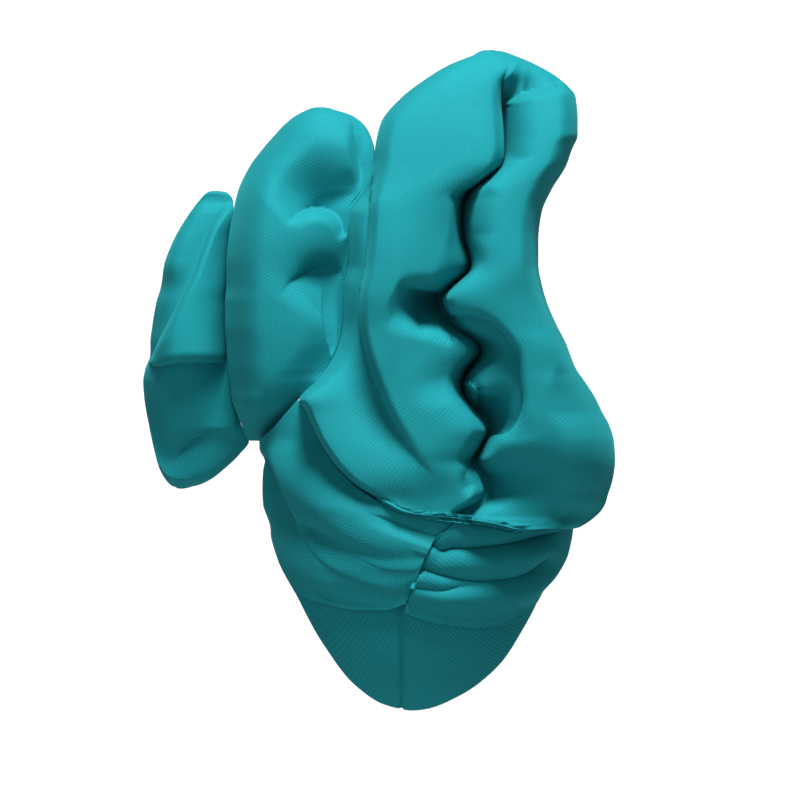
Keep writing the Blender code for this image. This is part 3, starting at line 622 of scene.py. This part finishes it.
def fold_relief(across, up, folds, dents, number):
    """Depth of the folds and dents, and how far the rolls lap sideways over their runs.

    A fold's depth is its edge shape times a fade in and a fade out along its run.  The lap
    moves the cloth of the rolled side over the run by 27/4 t (1 - t)^2, a bump that is 1 at
    its height, t widths from the run.  A dent is a leaning bell exp(-r^2.2).  Folds and dents
    with another tube's number are left out."""
    depth = np.zeros_like(across)
    lap_x = np.zeros_like(across)
    lap_z = np.zeros_like(across)
    for points, deep, left, right, left_kind, right_kind, fade_in, fade_out, lap, where in folds:
        if where not in (0, number):
            continue
        gap_x, gap_z, distance, hand, place, total = off_run(across, up, points)
        shown = ease(place / fade_in) * ease((total - place) / fade_out)
        width = np.where(hand > 0, right, left)
        kind = np.where(hand > 0, right_kind, left_kind)
        t = np.clip(distance / width, 0, 1)
        depth += deep * shown * edge_shape(t, kind)
        if lap > 0:
            push = lap * shown * 27 / 4 * t * (1 - t) ** 2 * (kind == ROLL)
            near = np.maximum(distance, TINY)
            lap_x -= push * gap_x / near
            lap_z -= push * gap_z / near
    for at_across, at_up, half_length, half_width, tilt, deep, where in dents:
        if where not in (0, number):
            continue
        angle = math.radians(tilt)
        dx = at_across - across
        dz = up - at_up
        u = (dx * math.cos(angle) + dz * math.sin(angle)) / half_length
        v = (dz * math.cos(angle) - dx * math.sin(angle)) / half_width
        depth += deep * np.exp(-(u * u + v * v) ** 1.1)
    return depth, lap_x, lap_z


def slack(across, up, seed, reach, height):
    """Gentle unevenness of soft cloth: a sum of slow bent sine waves that cross at odd angles
    and are out of step with each other."""
    total = np.zeros_like(across)
    waves = 5
    for k in range(waves):
        angle = 2.4 * k + 0.7 * seed
        rate = 2 * math.pi / (reach * (1.0 + 0.27 * k))
        phase = 1.7 * seed + 2.1 * k
        bend = 0.35 * np.sin(rate * 0.6 * (up * math.cos(angle) - across * math.sin(angle)))
        total += np.sin(rate * (across * math.cos(angle) + up * math.sin(angle)) + phase + bend)
    return height * total / waves


def head_level(sizes, z, off):
    """Share of the girth left at a height: the half ellipse sqrt(1 - h^2), with its own
    height above and below the widest level."""
    above = z + sizes.crown_rise
    h = np.where(above > 0, above / (sizes.crown_rise + off), -above / (sizes.nape_drop + off))
    return np.sqrt(np.clip(1 - h * h, 0, 1))


def keep_off_hood(sizes, points, stand):
    """Moves points back, along the nape's direction, until they clear the hood's ellipsoid."""
    off = sizes.cloth + stand
    x = points[..., 0] / (sizes.head_half_width + off)
    room = np.clip(head_level(sizes, points[..., 2], off) ** 2 - x * x, 0, None)
    least = (sizes.head_half_depth + off) * np.sqrt(room)
    points[..., 1] = np.where(room > 0, np.maximum(points[..., 1], least), points[..., 1])
    return points


def levels_of(low, high, count):
    """Heights from low to high, closer together at both ends: a straight run blended with
    half a cosine wave."""
    share = np.linspace(0, 1, count)
    share = EVEN_LEVELS * share + (1 - EVEN_LEVELS) * (0.5 - 0.5 * np.cos(math.pi * share))
    return low + (high - low) * share


def rounded(rows, up):
    """A table read at a height, with its lowest and highest ends closing as a circle does.

    Near the ends the key is the angle whose cosine runs evenly from end to end, so widths
    there grow with the square root of the distance from the end."""
    knots = np.array(rows, float)
    low, high = knots[0, 0], knots[-1, 0]
    turned = knots.copy()
    turned[:, 0] = np.arccos(np.clip(1 - 2 * (knots[:, 0] - low) / (high - low), -1, 1))
    key = np.arccos(np.clip(1 - 2 * (up - low) / (high - low), -1, 1))
    end = ease((np.maximum(up - high, low - up) + END_REACH) / END_BLEND)[:, None]
    return curve(rows, up) * (1 - end) + curve(turned, key) * end


def roll(distance, radius, broad):
    """Rise of a rolled edge from 0 to 1: a quarter circle a radius wide, with part of the
    rise left to a broader quarter circle."""
    near = np.clip(distance / radius, 0, 1)
    far = np.clip(distance / np.maximum(radius, broad), 0, 1)
    return (NEAR_ROLL * np.sqrt(1 - (1 - near) ** 2)
            + (1 - NEAR_ROLL) * np.sqrt(1 - (1 - far) ** 2))


def tube(ends, depths, radii, crown, turn):
    """Across, depth and rise of one tube of cloth, from its left to its right end.

    Across runs as (1 - cos) / 2 of the turn.  The cloth rises from the straight line between
    its ends to the crown, over a rolled edge at each end, and less so where it is narrow."""
    start, end = ends
    share = (1 - np.cos(turn)) / 2
    width = np.maximum(start - end, TINY)
    half = 0.5 * width
    broad = np.minimum(BROAD_ROLL, half)
    rise = (roll(share * width, np.minimum(radii[0], half), broad)
            * roll((1 - share) * width, np.minimum(radii[1], half), broad))
    line = depths[0] + (depths[1] - depths[0]) * share
    rise = rise * ease(width / NARROW_TUBE)
    return start + (end - start) * share, line, (crown - line) * rise


def crease_tubes(form, up, rims, backs, radii, crown):
    """The two tubes beside the main crease, each as its ends, their depths and their radii.

    The crease is read as the mean of its table a little below, at and above each level.  Its
    floor lies the kept share of the way from the crown to the rims, and runs into the left
    rim's depth by exp(-distance) where the crease comes near that rim."""
    left, right = rims
    read = (curve(form["crease"], up - CREASE_BLUR) + 2 * curve(form["crease"], up)
            + curve(form["crease"], up + CREASE_BLUR)) / 4
    kept, crease, left_radius, right_radius = read.T[..., None]
    at_pole = ease((up[:, None] - POLE_LEVEL) / POLE_BLEND)
    crease = np.clip(crease, right + POLE_SHARE * (left - right) * at_pole,
                     left - CREASE_MARGIN)
    floor = crown - kept * (crown - 0.5 * (backs[0] + backs[1]))
    beside = np.exp(-(left - crease) / CREASE_REACH) * ease(2 * kept)
    floor = floor + (backs[0] - floor) * beside
    return (((left, crease), (backs[0], floor), (radii[0], left_radius)),
            ((crease, right), (floor, backs[1]), (right_radius, radii[1])))


def ruffle(sizes, form):
    """A hollow ruffle as closed level sections from its foot up to its pole.

    The back of a section is one tube, or two beside each other that meet in the main crease;
    the front is a half sine wave.  A rim's radius is measured square to the rim, so along the
    level it is longer by sqrt(1 + slope^2) where the rim slants.  The folds are cut into the
    back along the view from behind by room tanh(cut / room), no deeper than the room that the
    tube's rise leaves there."""
    up = levels_of(form["sections"][0][0], form["sections"][-1][0], RUFFLE_ROWS)
    left, right, left_y, right_y, front = rounded(form["sections"], up).T[..., None]
    left = left - 0.5 * sizes.parting / sizes.span
    right = right + 0.5 * sizes.parting / sizes.span
    right_y = right_y - form["tuck"] * sizes.tuck / sizes.span
    crown = curve(form["crown"], up)[:, 0, None]
    left_y = np.minimum(left_y, crown - LEAST_RISE)
    right_y = np.minimum(right_y, crown - LEAST_RISE)
    high = ease((up[:, None] - FOOT_RIM_TOP) / FOOT_RIM_BLEND)
    radii = [(low + (full - low) * high) * np.hypot(1, np.gradient(side[:, 0], up))[:, None]
             for low, full, side in zip(form["foot_rim"], form["rim"], (left, right))]
    if form["crease"]:
        tubes = crease_tubes(form, up, (left, right), (left_y, right_y), radii, crown)
    else:
        tubes = (((left, right), (left_y, right_y), radii),)
    bands = []
    for number, (ends, depths, edges) in enumerate(tubes):
        turn = np.linspace(0, math.pi, form["columns"][number], endpoint=False)
        across, line, rise = tube(ends, depths, edges, crown, turn)
        level = up[:, None] + 0 * across
        cut, lap_x, lap_z = fold_relief(across, level, form["folds"], form["dents"], number + 1)
        shown = ease(FOLD_FADE * np.sin(turn))
        if number > 0:
            shown = np.where(turn < math.pi / 2, 1.0, shown)
        if number < len(tubes) - 1:
            shown = np.where(turn > math.pi / 2, 1.0, shown)
        cut = cut - slack(across, level, form["seed"], *RUFFLE_SLACK)
        room = np.clip(rise - LEAST_RISE, 0, None)
        depth = line + rise - room * np.tanh(cut * shown / np.maximum(room, TINY))
        pushed = shown * ease(room / LAP_ROOM)
        bands.append((across + lap_x * pushed, depth, level + lap_z * pushed))
    turn = np.linspace(0, math.pi, form["columns"][-1], endpoint=False)
    share = (1 - np.cos(turn)) / 2
    across = right + (left - right) * share
    depth = right_y + (left_y - right_y) * share - front * np.sin(turn)
    bands.append((across, depth, up[:, None] + 0 * across))
    points = np.concatenate([np.stack(band, -1) for band in bands], 1) * sizes.span
    return keep_off_hood(sizes, points, sizes.ruffle_stand)


def hood(sizes):
    """The fitted hood as rings from the hem up to the crown.

    Each ring is an ellipse; its place on the way from crown to hem is an angle that grows
    evenly down to the hem's own drop.  The centre back seam is a narrow groove with the
    cloth drawn in beside it, both bells exp(-d^2) of the distance across."""
    turn = np.linspace(-math.pi, math.pi, HOOD["columns"], endpoint=False)
    hem = -sizes.span * curve(HEM, np.degrees(turn))[:, 0]
    above = hem + sizes.crown_rise
    upper = np.arccos(np.clip(above / sizes.crown_rise, -1, 1))
    lower = math.pi / 2 + np.arcsin(np.clip(-above / sizes.nape_drop, -1, 1))
    reach = np.where(above > 0, upper, lower)
    polar = reach * np.linspace(1, HOOD_TOP, HOOD["rows"])[:, None]
    height = np.cos(polar)
    x = (sizes.head_half_width + sizes.cloth) * np.sin(polar) * np.sin(turn)
    y = (sizes.head_half_depth + sizes.cloth) * np.sin(polar) * np.cos(turn)
    z = np.where(height > 0, (sizes.crown_rise + sizes.cloth) * height,
                 (sizes.nape_drop + sizes.cloth) * height) - sizes.crown_rise
    at_back = ease((y - HOOD_BACK[0]) / HOOD_BACK[1])
    beside = x - HOOD_SEAM["across"] * sizes.span
    cut = -slack(x, z, 3.0, *HOOD_SLACK)
    for deep, wide in (HOOD_SEAM["groove"], HOOD_SEAM["drawn"]):
        cut = cut + deep * np.exp(-(beside / wide) ** 2)
    cut = cut * at_back
    norm = np.stack([x / sizes.head_half_width ** 2, y / sizes.head_half_depth ** 2,
                     HOOD_LEVEL_CUT * (z + sizes.crown_rise) / sizes.nape_drop ** 2], -1)
    norm /= np.linalg.norm(norm, axis=-1, keepdims=True)
    return np.stack([x, y, z], -1) - norm * cut[..., None]


def lower_rim():
    """Underside of the ruffles as (across, up), from the right to the left: up the tall
    ruffle's left rim to where the two meet and down the middle ruffle's right rim."""
    tall_foot = TALL_SECTIONS[0][0]
    middle_foot = MIDDLE_SECTIONS[0][0]
    up_tall = np.linspace(tall_foot, RIMS_MEET, RIM_POINTS)
    up_middle = np.linspace(middle_foot, RIMS_MEET, RIM_POINTS)
    tall_left = curve(TALL_SECTIONS, up_tall)[:, 0]
    middle_right = curve(MIDDLE_SECTIONS, up_middle)[:, 1]
    across = np.concatenate([[-RIM_ENDS, TALL_SECTIONS[0][2]], tall_left,
                             middle_right[::-1], [RIM_ENDS]])
    up = np.concatenate([[tall_foot, tall_foot], up_tall, up_middle[::-1], [middle_foot]])
    return across, up


def drape(sizes, form):
    """A gathered half of the wrap, from the seam round one side, lower to upper edge.

    At each height the cloth lies on an ellipse whose half width and half depth come from
    the girth table; near the lower edge and the front end it closes on the hood.  Its upper
    edge follows the ruffles' rims, a gap below them, and is found by going half the way to
    them again and again.  The folds are cut inward by room tanh(cut / room), and the cloth
    never goes inside the hood."""
    hand = form["hand"]
    rim_across, rim_up = lower_rim()
    along = np.linspace(0, 1, DRAPE_COLUMNS)
    end = math.radians(DRAPE_END) * hand
    parting = sizes.seam_gap / sizes.span

    def angle(share, up):
        """Turn from the nape at a share of the way from the seam to the front end."""
        size = curve(form["girth"], up)
        start = np.arcsin((curve(SEAM, up)[..., 0] + 0.5 * hand * parting) / size[..., 0])
        return start + share * (end - start), size

    def past_side(turn):
        """From 0 under the ruffles to 1 beside the brow."""
        return ease((np.abs(turn) - math.radians(form["side"])) / math.radians(SIDE_BLEND))

    def rim_height(across):
        """Height of the upper edge: a gap square to the rim, wider under the foot."""
        slope = (np.interp(across + RIM_STEP, rim_across, rim_up)
                 - np.interp(across - RIM_STEP, rim_across, rim_up)) / (2 * RIM_STEP)
        under = (ease((FOOT_TO - across) / FOOT_TO_BLEND)
                 * ease((across - FOOT_FROM) / FOOT_FROM_BLEND))
        gap = sizes.rim_gap / sizes.span * (1 + FOOT_GAPS * under)
        return np.interp(across, rim_across, rim_up) - gap * np.sqrt(1 + slope ** 2)

    top = np.full(DRAPE_COLUMNS, TOP_START)
    for _ in range(TOP_ROUNDS):
        turn, size = angle(along, top)
        past = past_side(turn)
        beside = np.where(np.abs(turn) > math.pi / 2, hand * size[:, 0],
                          size[:, 0] * np.sin(turn))
        top = 0.5 * top + 0.5 * (rim_height(beside) * (1 - past) + FRONT_TOP * past)
    foot = curve(form["edge"], along)[:, 0]
    up = foot + (top - foot) * np.linspace(0, 1, DRAPE_ROWS)[:, None]
    share = along + 0 * up
    turn, size = angle(share, up)
    close = sizes.cloth + sizes.seat + sizes.cloth
    ring = head_level(sizes, up * sizes.span, close)
    near_x = (sizes.head_half_width + close) * ring / sizes.span
    near_y = (sizes.head_half_depth + close) * ring / sizes.span
    climbed = (up - foot) * sizes.span
    below = (top - up) * sizes.span
    curl = 1 - past_side(turn) * (1 - ease(below / CURL_HEIGHT))
    loose = ease(climbed / HEM_HEIGHT) * (1 - ease((share - CLOSE_FROM) / (1 - CLOSE_FROM))) * curl
    wide = near_x + (size[..., 0] - near_x) * loose
    deep = near_y + (size[..., 1] - near_y) * loose
    across = wide * np.sin(turn)
    depth = deep * np.cos(turn)
    cut, lap_x, lap_z = fold_relief(across, up, form["folds"], form["dents"], 0)
    shown = ease((FOLD_TURN - np.abs(turn)) / FOLD_TURN_BLEND) * ease(climbed / EDGE_HEIGHT)
    room = np.clip(np.minimum(wide - near_x, deep - near_y), TINY, None)
    cut = (room * np.tanh(cut / room) - slack(across, up, form["seed"], *DRAPE_SLACK)) * shown
    out_x = across / wide ** 2
    out_y = depth / deep ** 2
    scale = np.hypot(out_x, out_y)
    across = across - cut * out_x / scale
    depth = depth - cut * out_y / scale
    inside = np.maximum(1.0, 1.0 / np.hypot(across / near_x, depth / near_y))
    held = shown * ease(below / EDGE_HEIGHT) * ease(share / SEAM_SHARE)
    return np.stack([across * inside + lap_x * held, depth * inside, up + lap_z * held],
                    -1) * sizes.span


def run_lengths(grid, closed):
    """Lengths along the rows and up the columns, averaged over the grid, for the UV map."""
    beside = np.roll(grid, -1, axis=1) if closed else np.concatenate(
        [grid[:, 1:], grid[:, -1:]], axis=1)
    along = np.linalg.norm(beside - grid, axis=-1).mean(axis=0)
    upward = np.linalg.norm(np.diff(grid, axis=0), axis=-1).mean(axis=1)
    u = np.concatenate([[0.0], np.cumsum(along)])
    v = np.concatenate([[0.0], np.cumsum(upward)])
    return u, v


def make_piece(name, grid, closed, thickness, foot_pole=False):
    """A mesh from a grid of points, its outer face, with the cloth's wall inside it.

    A closed grid joins round and gets a pole, the mean of its last ring, at the top, and one
    at the foot where foot_pole says so.  The UV map holds lengths in metres along and up the
    cloth, and a pole lies a millimetre past its ring there."""
    past = 0.001
    rows, columns = grid.shape[:2]
    spans = columns if closed else columns - 1
    r, c = np.meshgrid(np.arange(rows - 1), np.arange(spans), indexing="ij")
    d = (c + 1) % columns
    quads = np.stack([r * columns + c, r * columns + d, (r + 1) * columns + d,
                      (r + 1) * columns + c], -1).reshape(-1, 4)
    u, v = run_lengths(grid, closed)
    uv = np.stack([u[np.stack([c, c + 1, c + 1, c], -1)], v[np.stack([r, r, r + 1, r + 1], -1)]],
                  -1).reshape(-1, 2)
    verts = grid.reshape(-1, 3)
    faces = quads.tolist()
    if closed:
        pole = len(verts)
        verts = np.vstack([verts, grid[-1].mean(axis=0)])
        base = (rows - 1) * columns
        ring = np.arange(columns)
        fan = np.stack([base + ring, base + (ring + 1) % columns, np.full(columns, pole)], -1)
        faces += fan.tolist()
        fan_uv = np.stack([np.stack([u[:-1], u[1:], 0.5 * (u[:-1] + u[1:])], -1),
                           np.tile([v[-1], v[-1], v[-1] + past], (columns, 1))], -1)
        uv = np.vstack([uv, fan_uv.reshape(-1, 2)])
        if foot_pole:
            verts = np.vstack([verts, grid[0].mean(axis=0)])
            fan = np.stack([(ring + 1) % columns, ring, np.full(columns, pole + 1)], -1)
            faces += fan.tolist()
            fan_uv = np.stack([np.stack([u[1:], u[:-1], 0.5 * (u[:-1] + u[1:])], -1),
                               np.tile([v[0], v[0], v[0] - past], (columns, 1))], -1)
            uv = np.vstack([uv, fan_uv.reshape(-1, 2)])
    mesh = bpy.data.meshes.new(name)
    mesh.from_pydata(verts.tolist(), [], faces)
    layer = mesh.uv_layers.new(name="cloth")
    layer.data.foreach_set("uv", uv.ravel())
    mesh.shade_smooth()
    piece = bpy.data.objects.new(name, mesh)
    bpy.context.scene.collection.objects.link(piece)
    wall = piece.modifiers.new("wall", "SOLIDIFY")
    wall.thickness = thickness
    wall.offset = -1.0
    wall.use_rim = True
    return piece


def dress(piece, node, material):
    """Gives a piece its knit and its place under the root body, and hides the CAD part that it
    replaces.
    """
    piece.data.materials.append(material)
    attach(piece, "root")
    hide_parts(node)


class Sock:
    """A node socket that takes part in Python sums; each sum adds its own Math node."""

    def __init__(self, tree, out):
        self.tree = tree
        self.out = out

    def node(self, kind, settings=None, values=None, out=0):
        """A node of a type, its settings first, then the values or links of its sockets."""
        made = self.tree.nodes.new(kind)
        for key, value in (settings or {}).items():
            setattr(made, key, value)
        for key, value in (values or {}).items():
            if isinstance(value, Sock):
                self.tree.links.new(value.out, made.inputs[key])
            else:
                made.inputs[key].default_value = value
        return Sock(self.tree, made.outputs[out])

    def maths(self, operation, *values):
        """A Math node of an operation on values or sockets."""
        return self.node("ShaderNodeMath", {"operation": operation}, dict(enumerate(values)))

    def __add__(self, other):
        return self.maths("ADD", self, other)

    def __radd__(self, other):
        return self.maths("ADD", other, self)

    def __sub__(self, other):
        return self.maths("SUBTRACT", self, other)

    def __rsub__(self, other):
        return self.maths("SUBTRACT", other, self)

    def __mul__(self, other):
        return self.maths("MULTIPLY", self, other)

    def __rmul__(self, other):
        return self.maths("MULTIPLY", other, self)

    def sine(self):
        """Sine of this value, in radians."""
        return self.maths("SINE", self)

    def limited(self, low, high):
        """This value kept between two others."""
        return self.node("ShaderNodeClamp", None, {0: self, 1: low, 2: high})

    def noise(self, scale, detail, roughness):
        """A noise read at this place."""
        return self.node("ShaderNodeTexNoise", {"noise_dimensions": "3D"},
                         {"Vector": self, "Scale": scale, "Detail": detail,
                          "Roughness": roughness})

    def mixed(self, low, high):
        """From one colour to another as this value goes from 0 to 1."""
        return self.node("ShaderNodeMix", {"data_type": "RGBA", "clamp_factor": True},
                         {0: self, 6: low, 7: high}, out=2)


def knit(name, colours, lean):
    """Matt scuba knit: fine slanting wales across rows of stitches, with soft mottling.

    The weave's height is a half plus a sine wave square to the wales and a weaker one along
    them, both bent by a slow noise.  The colour carries painted shade between the stitches and
    painted light on the raised ones, and drifts slowly over the cloth in random mottling."""
    material = bpy.data.materials.new(name)
    material.use_nodes = True
    tree = material.node_tree
    surface = tree.nodes["Principled BSDF"]
    start = Sock(tree, surface.outputs[0])
    place = start.node("ShaderNodeTexCoord", out=3)
    uv = start.node("ShaderNodeUVMap", {"uv_map": "cloth"})
    along = uv.node("ShaderNodeSeparateXYZ", None, {0: uv})
    upward = Sock(tree, along.out.node.outputs[1])
    drift = place.noise(*WANDER) * DRIFT
    turn = 2 * math.pi / colours.stitch
    wale_x = turn * math.cos(lean)
    wale_y = turn * math.sin(lean)
    wale = (along * wale_x + upward * wale_y + drift).sine()
    course = (upward * (COURSE_RATE * wale_x) - along * (COURSE_RATE * wale_y)
              + drift * 0.5).sine()
    weave = wale * WALE_HEIGHT + course * COURSE_HEIGHT + 0.5
    fuzz = place.noise(*FUZZ)
    mottle = place.noise(*MOTTLE)
    # Painted shade and light: the weave darkens the colour between the stitches and lightens it on
    # the raised ones; fuzz and mottle add random tone
    tone = weave * colours.weave_shade + fuzz * FUZZ_TONE + mottle * MOTTLE_TONE + FIRST_TONE
    colour = tone.limited(0.0, 1.0).mixed(tuple(colours.stitch_shade_and_mottle), tuple(colours.light))
    height = weave + fuzz * FUZZ_HEIGHT
    bump = height.node("ShaderNodeBump", None, {"Strength": RELIEF_STRENGTH,
                                                "Distance": RELIEF_DEPTH, "Height": height})
    rough = (mottle * MOTTLE_ROUGHNESS + ROUGHNESS).limited(0.0, 1.0)
    tree.links.new(colour.out, surface.inputs["Base Color"])
    tree.links.new(bump.out, surface.inputs["Normal"])
    tree.links.new(rough.out, surface.inputs["Roughness"])
    surface.inputs["Specular IOR Level"].default_value = SHINE
    surface.inputs["Sheen Weight"].default_value = colours.sheen
    surface.inputs["Sheen Roughness"].default_value = SHEEN_ROUGHNESS
    surface.inputs["Sheen Tint"].default_value = tuple(colours.sheen_tint)
    return material


class CapSizes(bpy.types.PropertyGroup):
    """Sizes of the cap, in metres."""
    span: bpy.props.FloatProperty(
        name="Height", description="From the top of the tall ruffle to the nape hem",
        default=0.390, unit="LENGTH")
    head_half_width: bpy.props.FloatProperty(
        name="Head half width", description="Half the hood's inner width",
        default=0.078, unit="LENGTH")
    head_half_depth: bpy.props.FloatProperty(
        name="Head half depth", description="Half the hood's inner depth",
        default=0.097, unit="LENGTH")
    crown_rise: bpy.props.FloatProperty(
        name="Crown rise", description="From the widest level of the hood up to the crown",
        default=0.085, unit="LENGTH")
    nape_drop: bpy.props.FloatProperty(
        name="Nape rounding", description="How far below the widest level the hood would close",
        default=0.120, unit="LENGTH")
    cloth: bpy.props.FloatProperty(
        name="Cloth", description="Thickness of the doubled knit", default=0.0025, unit="LENGTH")
    seat: bpy.props.FloatProperty(
        name="Seat", description="Gap between the drapes and the hood",
        default=0.0007, unit="LENGTH")
    parting: bpy.props.FloatProperty(
        name="Parting", description="Gap between neighbouring ruffles in the view from behind, "
        "less than nothing where they overlap", default=-0.0006, unit="LENGTH")
    seam_gap: bpy.props.FloatProperty(
        name="Seam gap", description="Gap between the drapes at the gathered seam",
        default=0.0006, unit="LENGTH")
    rim_gap: bpy.props.FloatProperty(
        name="Rim gap", description="Gap between the drapes and the ruffles above them",
        default=0.0002, unit="LENGTH")
    tuck: bpy.props.FloatProperty(
        name="Tuck", description="How far a ruffle's right rim goes forward, in front of its "
        "neighbour", default=0.005, unit="LENGTH")
    ruffle_stand: bpy.props.FloatProperty(
        name="Ruffle stand", description="How far the ruffles keep off the hood",
        default=0.0038, unit="LENGTH")


class CapColours(bpy.types.PropertyGroup):
    """Colours and finish of the knit and the stage."""
    # Painted light: the lit colour of the raised stitches, also the pale end of the random mottle
    light: bpy.props.FloatVectorProperty(
        name="Knit", description="Colour of the raised stitches", subtype="COLOR", size=4,
        min=0.0, max=1.0, default=(0.012, 0.330, 0.372, 1.0))
    # Painted shade: the shaded colour between the stitches, also the dark end of the random mottle
    stitch_shade_and_mottle: bpy.props.FloatVectorProperty(
        name="Between stitches", description="Colour between the stitches", subtype="COLOR",
        size=4, min=0.0, max=1.0, default=(0.004, 0.165, 0.190, 1.0))
    sheen_tint: bpy.props.FloatVectorProperty(
        name="Sheen", description="Colour of the soft bloom at glancing angles",
        subtype="COLOR", size=4, min=0.0, max=1.0, default=(0.05, 0.72, 0.78, 1.0))
    sheen: bpy.props.FloatProperty(
        name="Sheen amount", description="Strength of the bloom", default=0.25, min=0.0,
        max=1.0, subtype="FACTOR")
    stitch: bpy.props.FloatProperty(
        name="Stitch pitch", description="Distance between wales", default=0.0013,
        unit="LENGTH")
    # How strongly the painted stitch shade darkens the colour between the stitches
    weave_shade: bpy.props.FloatProperty(
        name="Weave contrast", description="How much the weave darkens the colour",
        default=0.75, min=0.0, max=1.0, subtype="FACTOR")
    floor: bpy.props.FloatVectorProperty(
        name="Floor", description="Colour of the pale floor", subtype="COLOR", size=4,
        min=0.0, max=1.0, default=(0.88, 0.88, 0.88, 1.0))


class TURBAN_OT_hood(bpy.types.Operator):
    """Make the fitted hood with its nape panel and centre back seam"""
    bl_idname = "turban.hood"
    bl_label = "Hood"

    def execute(self, context):
        sizes = context.scene.cap_sizes
        piece = make_piece("hood", hood(sizes)[:, ::-1], True, sizes.cloth)
        dress(piece, "cap_body", knit("hood_knit", context.scene.cap_colours, HOOD["lean"]))
        return {"FINISHED"}


class TURBAN_OT_drapes(bpy.types.Operator):
    """Make the two gathered halves of the wrap that meet at the back seam"""
    bl_idname = "turban.drapes"
    bl_label = "Back drapes"

    def execute(self, context):
        sizes = context.scene.cap_sizes
        for form in DRAPES:
            grid = drape(sizes, form)
            if form["hand"] > 0:
                grid = grid[:, ::-1]
            piece = make_piece(form["name"], grid, False, sizes.cloth)
            dress(piece, form["node"],
                  knit(form["name"] + "_knit", context.scene.cap_colours, form["lean"]))
        return {"FINISHED"}


class TURBAN_OT_ruffles(bpy.types.Operator):
    """Make the tall, middle and side ruffles"""
    bl_idname = "turban.ruffles"
    bl_label = "Ruffles"

    def execute(self, context):
        sizes = context.scene.cap_sizes
        for form in RUFFLES:
            piece = make_piece(form["name"], ruffle(sizes, form), True, sizes.cloth,
                               foot_pole=True)
            dress(piece, form["node"],
                  knit(form["name"] + "_knit", context.scene.cap_colours, form["lean"]))
        return {"FINISHED"}


class TURBAN_OT_stage(bpy.types.Operator):
    """Set out the pale floor, the soft lights and the camera"""
    bl_idname = "turban.stage"
    bl_label = "Stage"

    def execute(self, context):
        colours = context.scene.cap_colours
        make_floor(colours)
        make_lights(context.scene)
        make_camera(context.scene)
        return {"FINISHED"}


class TURBAN_PT_panel(bpy.types.Panel):
    """Sizes, colours and steps of the cap"""
    bl_label = "Turban Cap"
    bl_idname = "TURBAN_PT_panel"
    bl_space_type = "VIEW_3D"
    bl_region_type = "UI"
    bl_category = "Turban Cap"

    def draw(self, context):
        column = self.layout.column()
        for name in CapSizes.__annotations__:
            column.prop(context.scene.cap_sizes, name)
        for name in CapColours.__annotations__:
            column.prop(context.scene.cap_colours, name)
        for step in STEPS:
            column.operator(step.bl_idname)


def make_floor(colours):
    """Floor and backdrop in one sweep: level, then a quarter circle up to a wall."""
    arc = np.linspace(0, math.pi / 2, 24)
    y = np.concatenate([[FLOOR_NEAR], FLOOR_BEND - FLOOR_RADIUS * np.sin(arc),
                        [FLOOR_BEND - FLOOR_RADIUS]])
    z = np.concatenate([[FLOOR_LEVEL], FLOOR_LEVEL + FLOOR_RADIUS * (1 - np.cos(arc)),
                        [FLOOR_TOP]])
    grid = np.stack([np.stack([np.full_like(y, x), y, z], -1)
                     for x in (-FLOOR_HALF, FLOOR_HALF)], 1)
    faces = [(2 * k, 2 * k + 1, 2 * k + 3, 2 * k + 2) for k in range(len(y) - 1)]
    mesh = bpy.data.meshes.new("floor")
    mesh.from_pydata(grid.reshape(-1, 3).tolist(), [], faces)
    mesh.shade_smooth()
    floor = bpy.data.objects.new("floor", mesh)
    bpy.context.scene.collection.objects.link(floor)
    material = bpy.data.materials.new("floor_paper")
    material.use_nodes = True
    surface = material.node_tree.nodes["Principled BSDF"]
    surface.inputs["Base Color"].default_value = tuple(colours.floor)
    surface.inputs["Roughness"].default_value = 0.9
    mesh.materials.append(material)


def make_lights(scene):
    """Broad soft lights, two of them for the backdrop alone, and a pale surround."""
    for name, at, target, size, power in LIGHTS:
        lamp = bpy.data.lights.new(name, "AREA")
        lamp.shape = "DISK"
        lamp.size = size
        lamp.energy = power
        item = bpy.data.objects.new(name, lamp)
        item.location = at
        item.rotation_euler = (target - item.location).to_track_quat("-Z", "Y").to_euler()
        scene.collection.objects.link(item)
    world = bpy.data.worlds.new("surround")
    world.use_nodes = True
    back = world.node_tree.nodes["Background"]
    back.inputs[0].default_value = (1.0, 1.0, 1.0, 1.0)
    back.inputs[1].default_value = SURROUND
    scene.world = world
    scene.view_settings.view_transform = "Standard"
    scene.view_settings.look = "None"


def make_camera(scene):
    """A long lens straight behind the cap and level with the point it looks at."""
    lens = bpy.data.cameras.new("camera")
    lens.sensor_width = 36.0
    lens.sensor_fit = "HORIZONTAL"
    lens.lens = CAMERA_DISTANCE * lens.sensor_width / VIEW_WIDTH
    lens.clip_end = 60.0
    item = bpy.data.objects.new("camera", lens)
    aim = Vector((0.0, -CAMERA_DISTANCE, 0.0))
    item.location = CENTRE - aim
    item.rotation_euler = aim.to_track_quat("-Z", "Y").to_euler()
    scene.collection.objects.link(item)
    scene.camera = item


STEPS = (TURBAN_OT_hood, TURBAN_OT_drapes, TURBAN_OT_ruffles, TURBAN_OT_stage)
CLASSES = (CapSizes, CapColours) + STEPS + (TURBAN_PT_panel,)


def register():
    """Tells Blender of the cap's classes and hangs its settings on the scene."""
    for item in CLASSES:
        bpy.utils.register_class(item)
    bpy.types.Scene.cap_sizes = bpy.props.PointerProperty(type=CapSizes)
    bpy.types.Scene.cap_colours = bpy.props.PointerProperty(type=CapColours)


def unregister():
    """Takes back what register did."""
    del bpy.types.Scene.cap_colours
    del bpy.types.Scene.cap_sizes
    for item in reversed(CLASSES):
        bpy.utils.unregister_class(item)


def main():
    """Builds the cap and its stage."""
    register()
    bpy.ops.turban.hood()
    bpy.ops.turban.drapes()
    bpy.ops.turban.ruffles()
    bpy.ops.turban.stage()


if __name__ == "__main__":
    main()
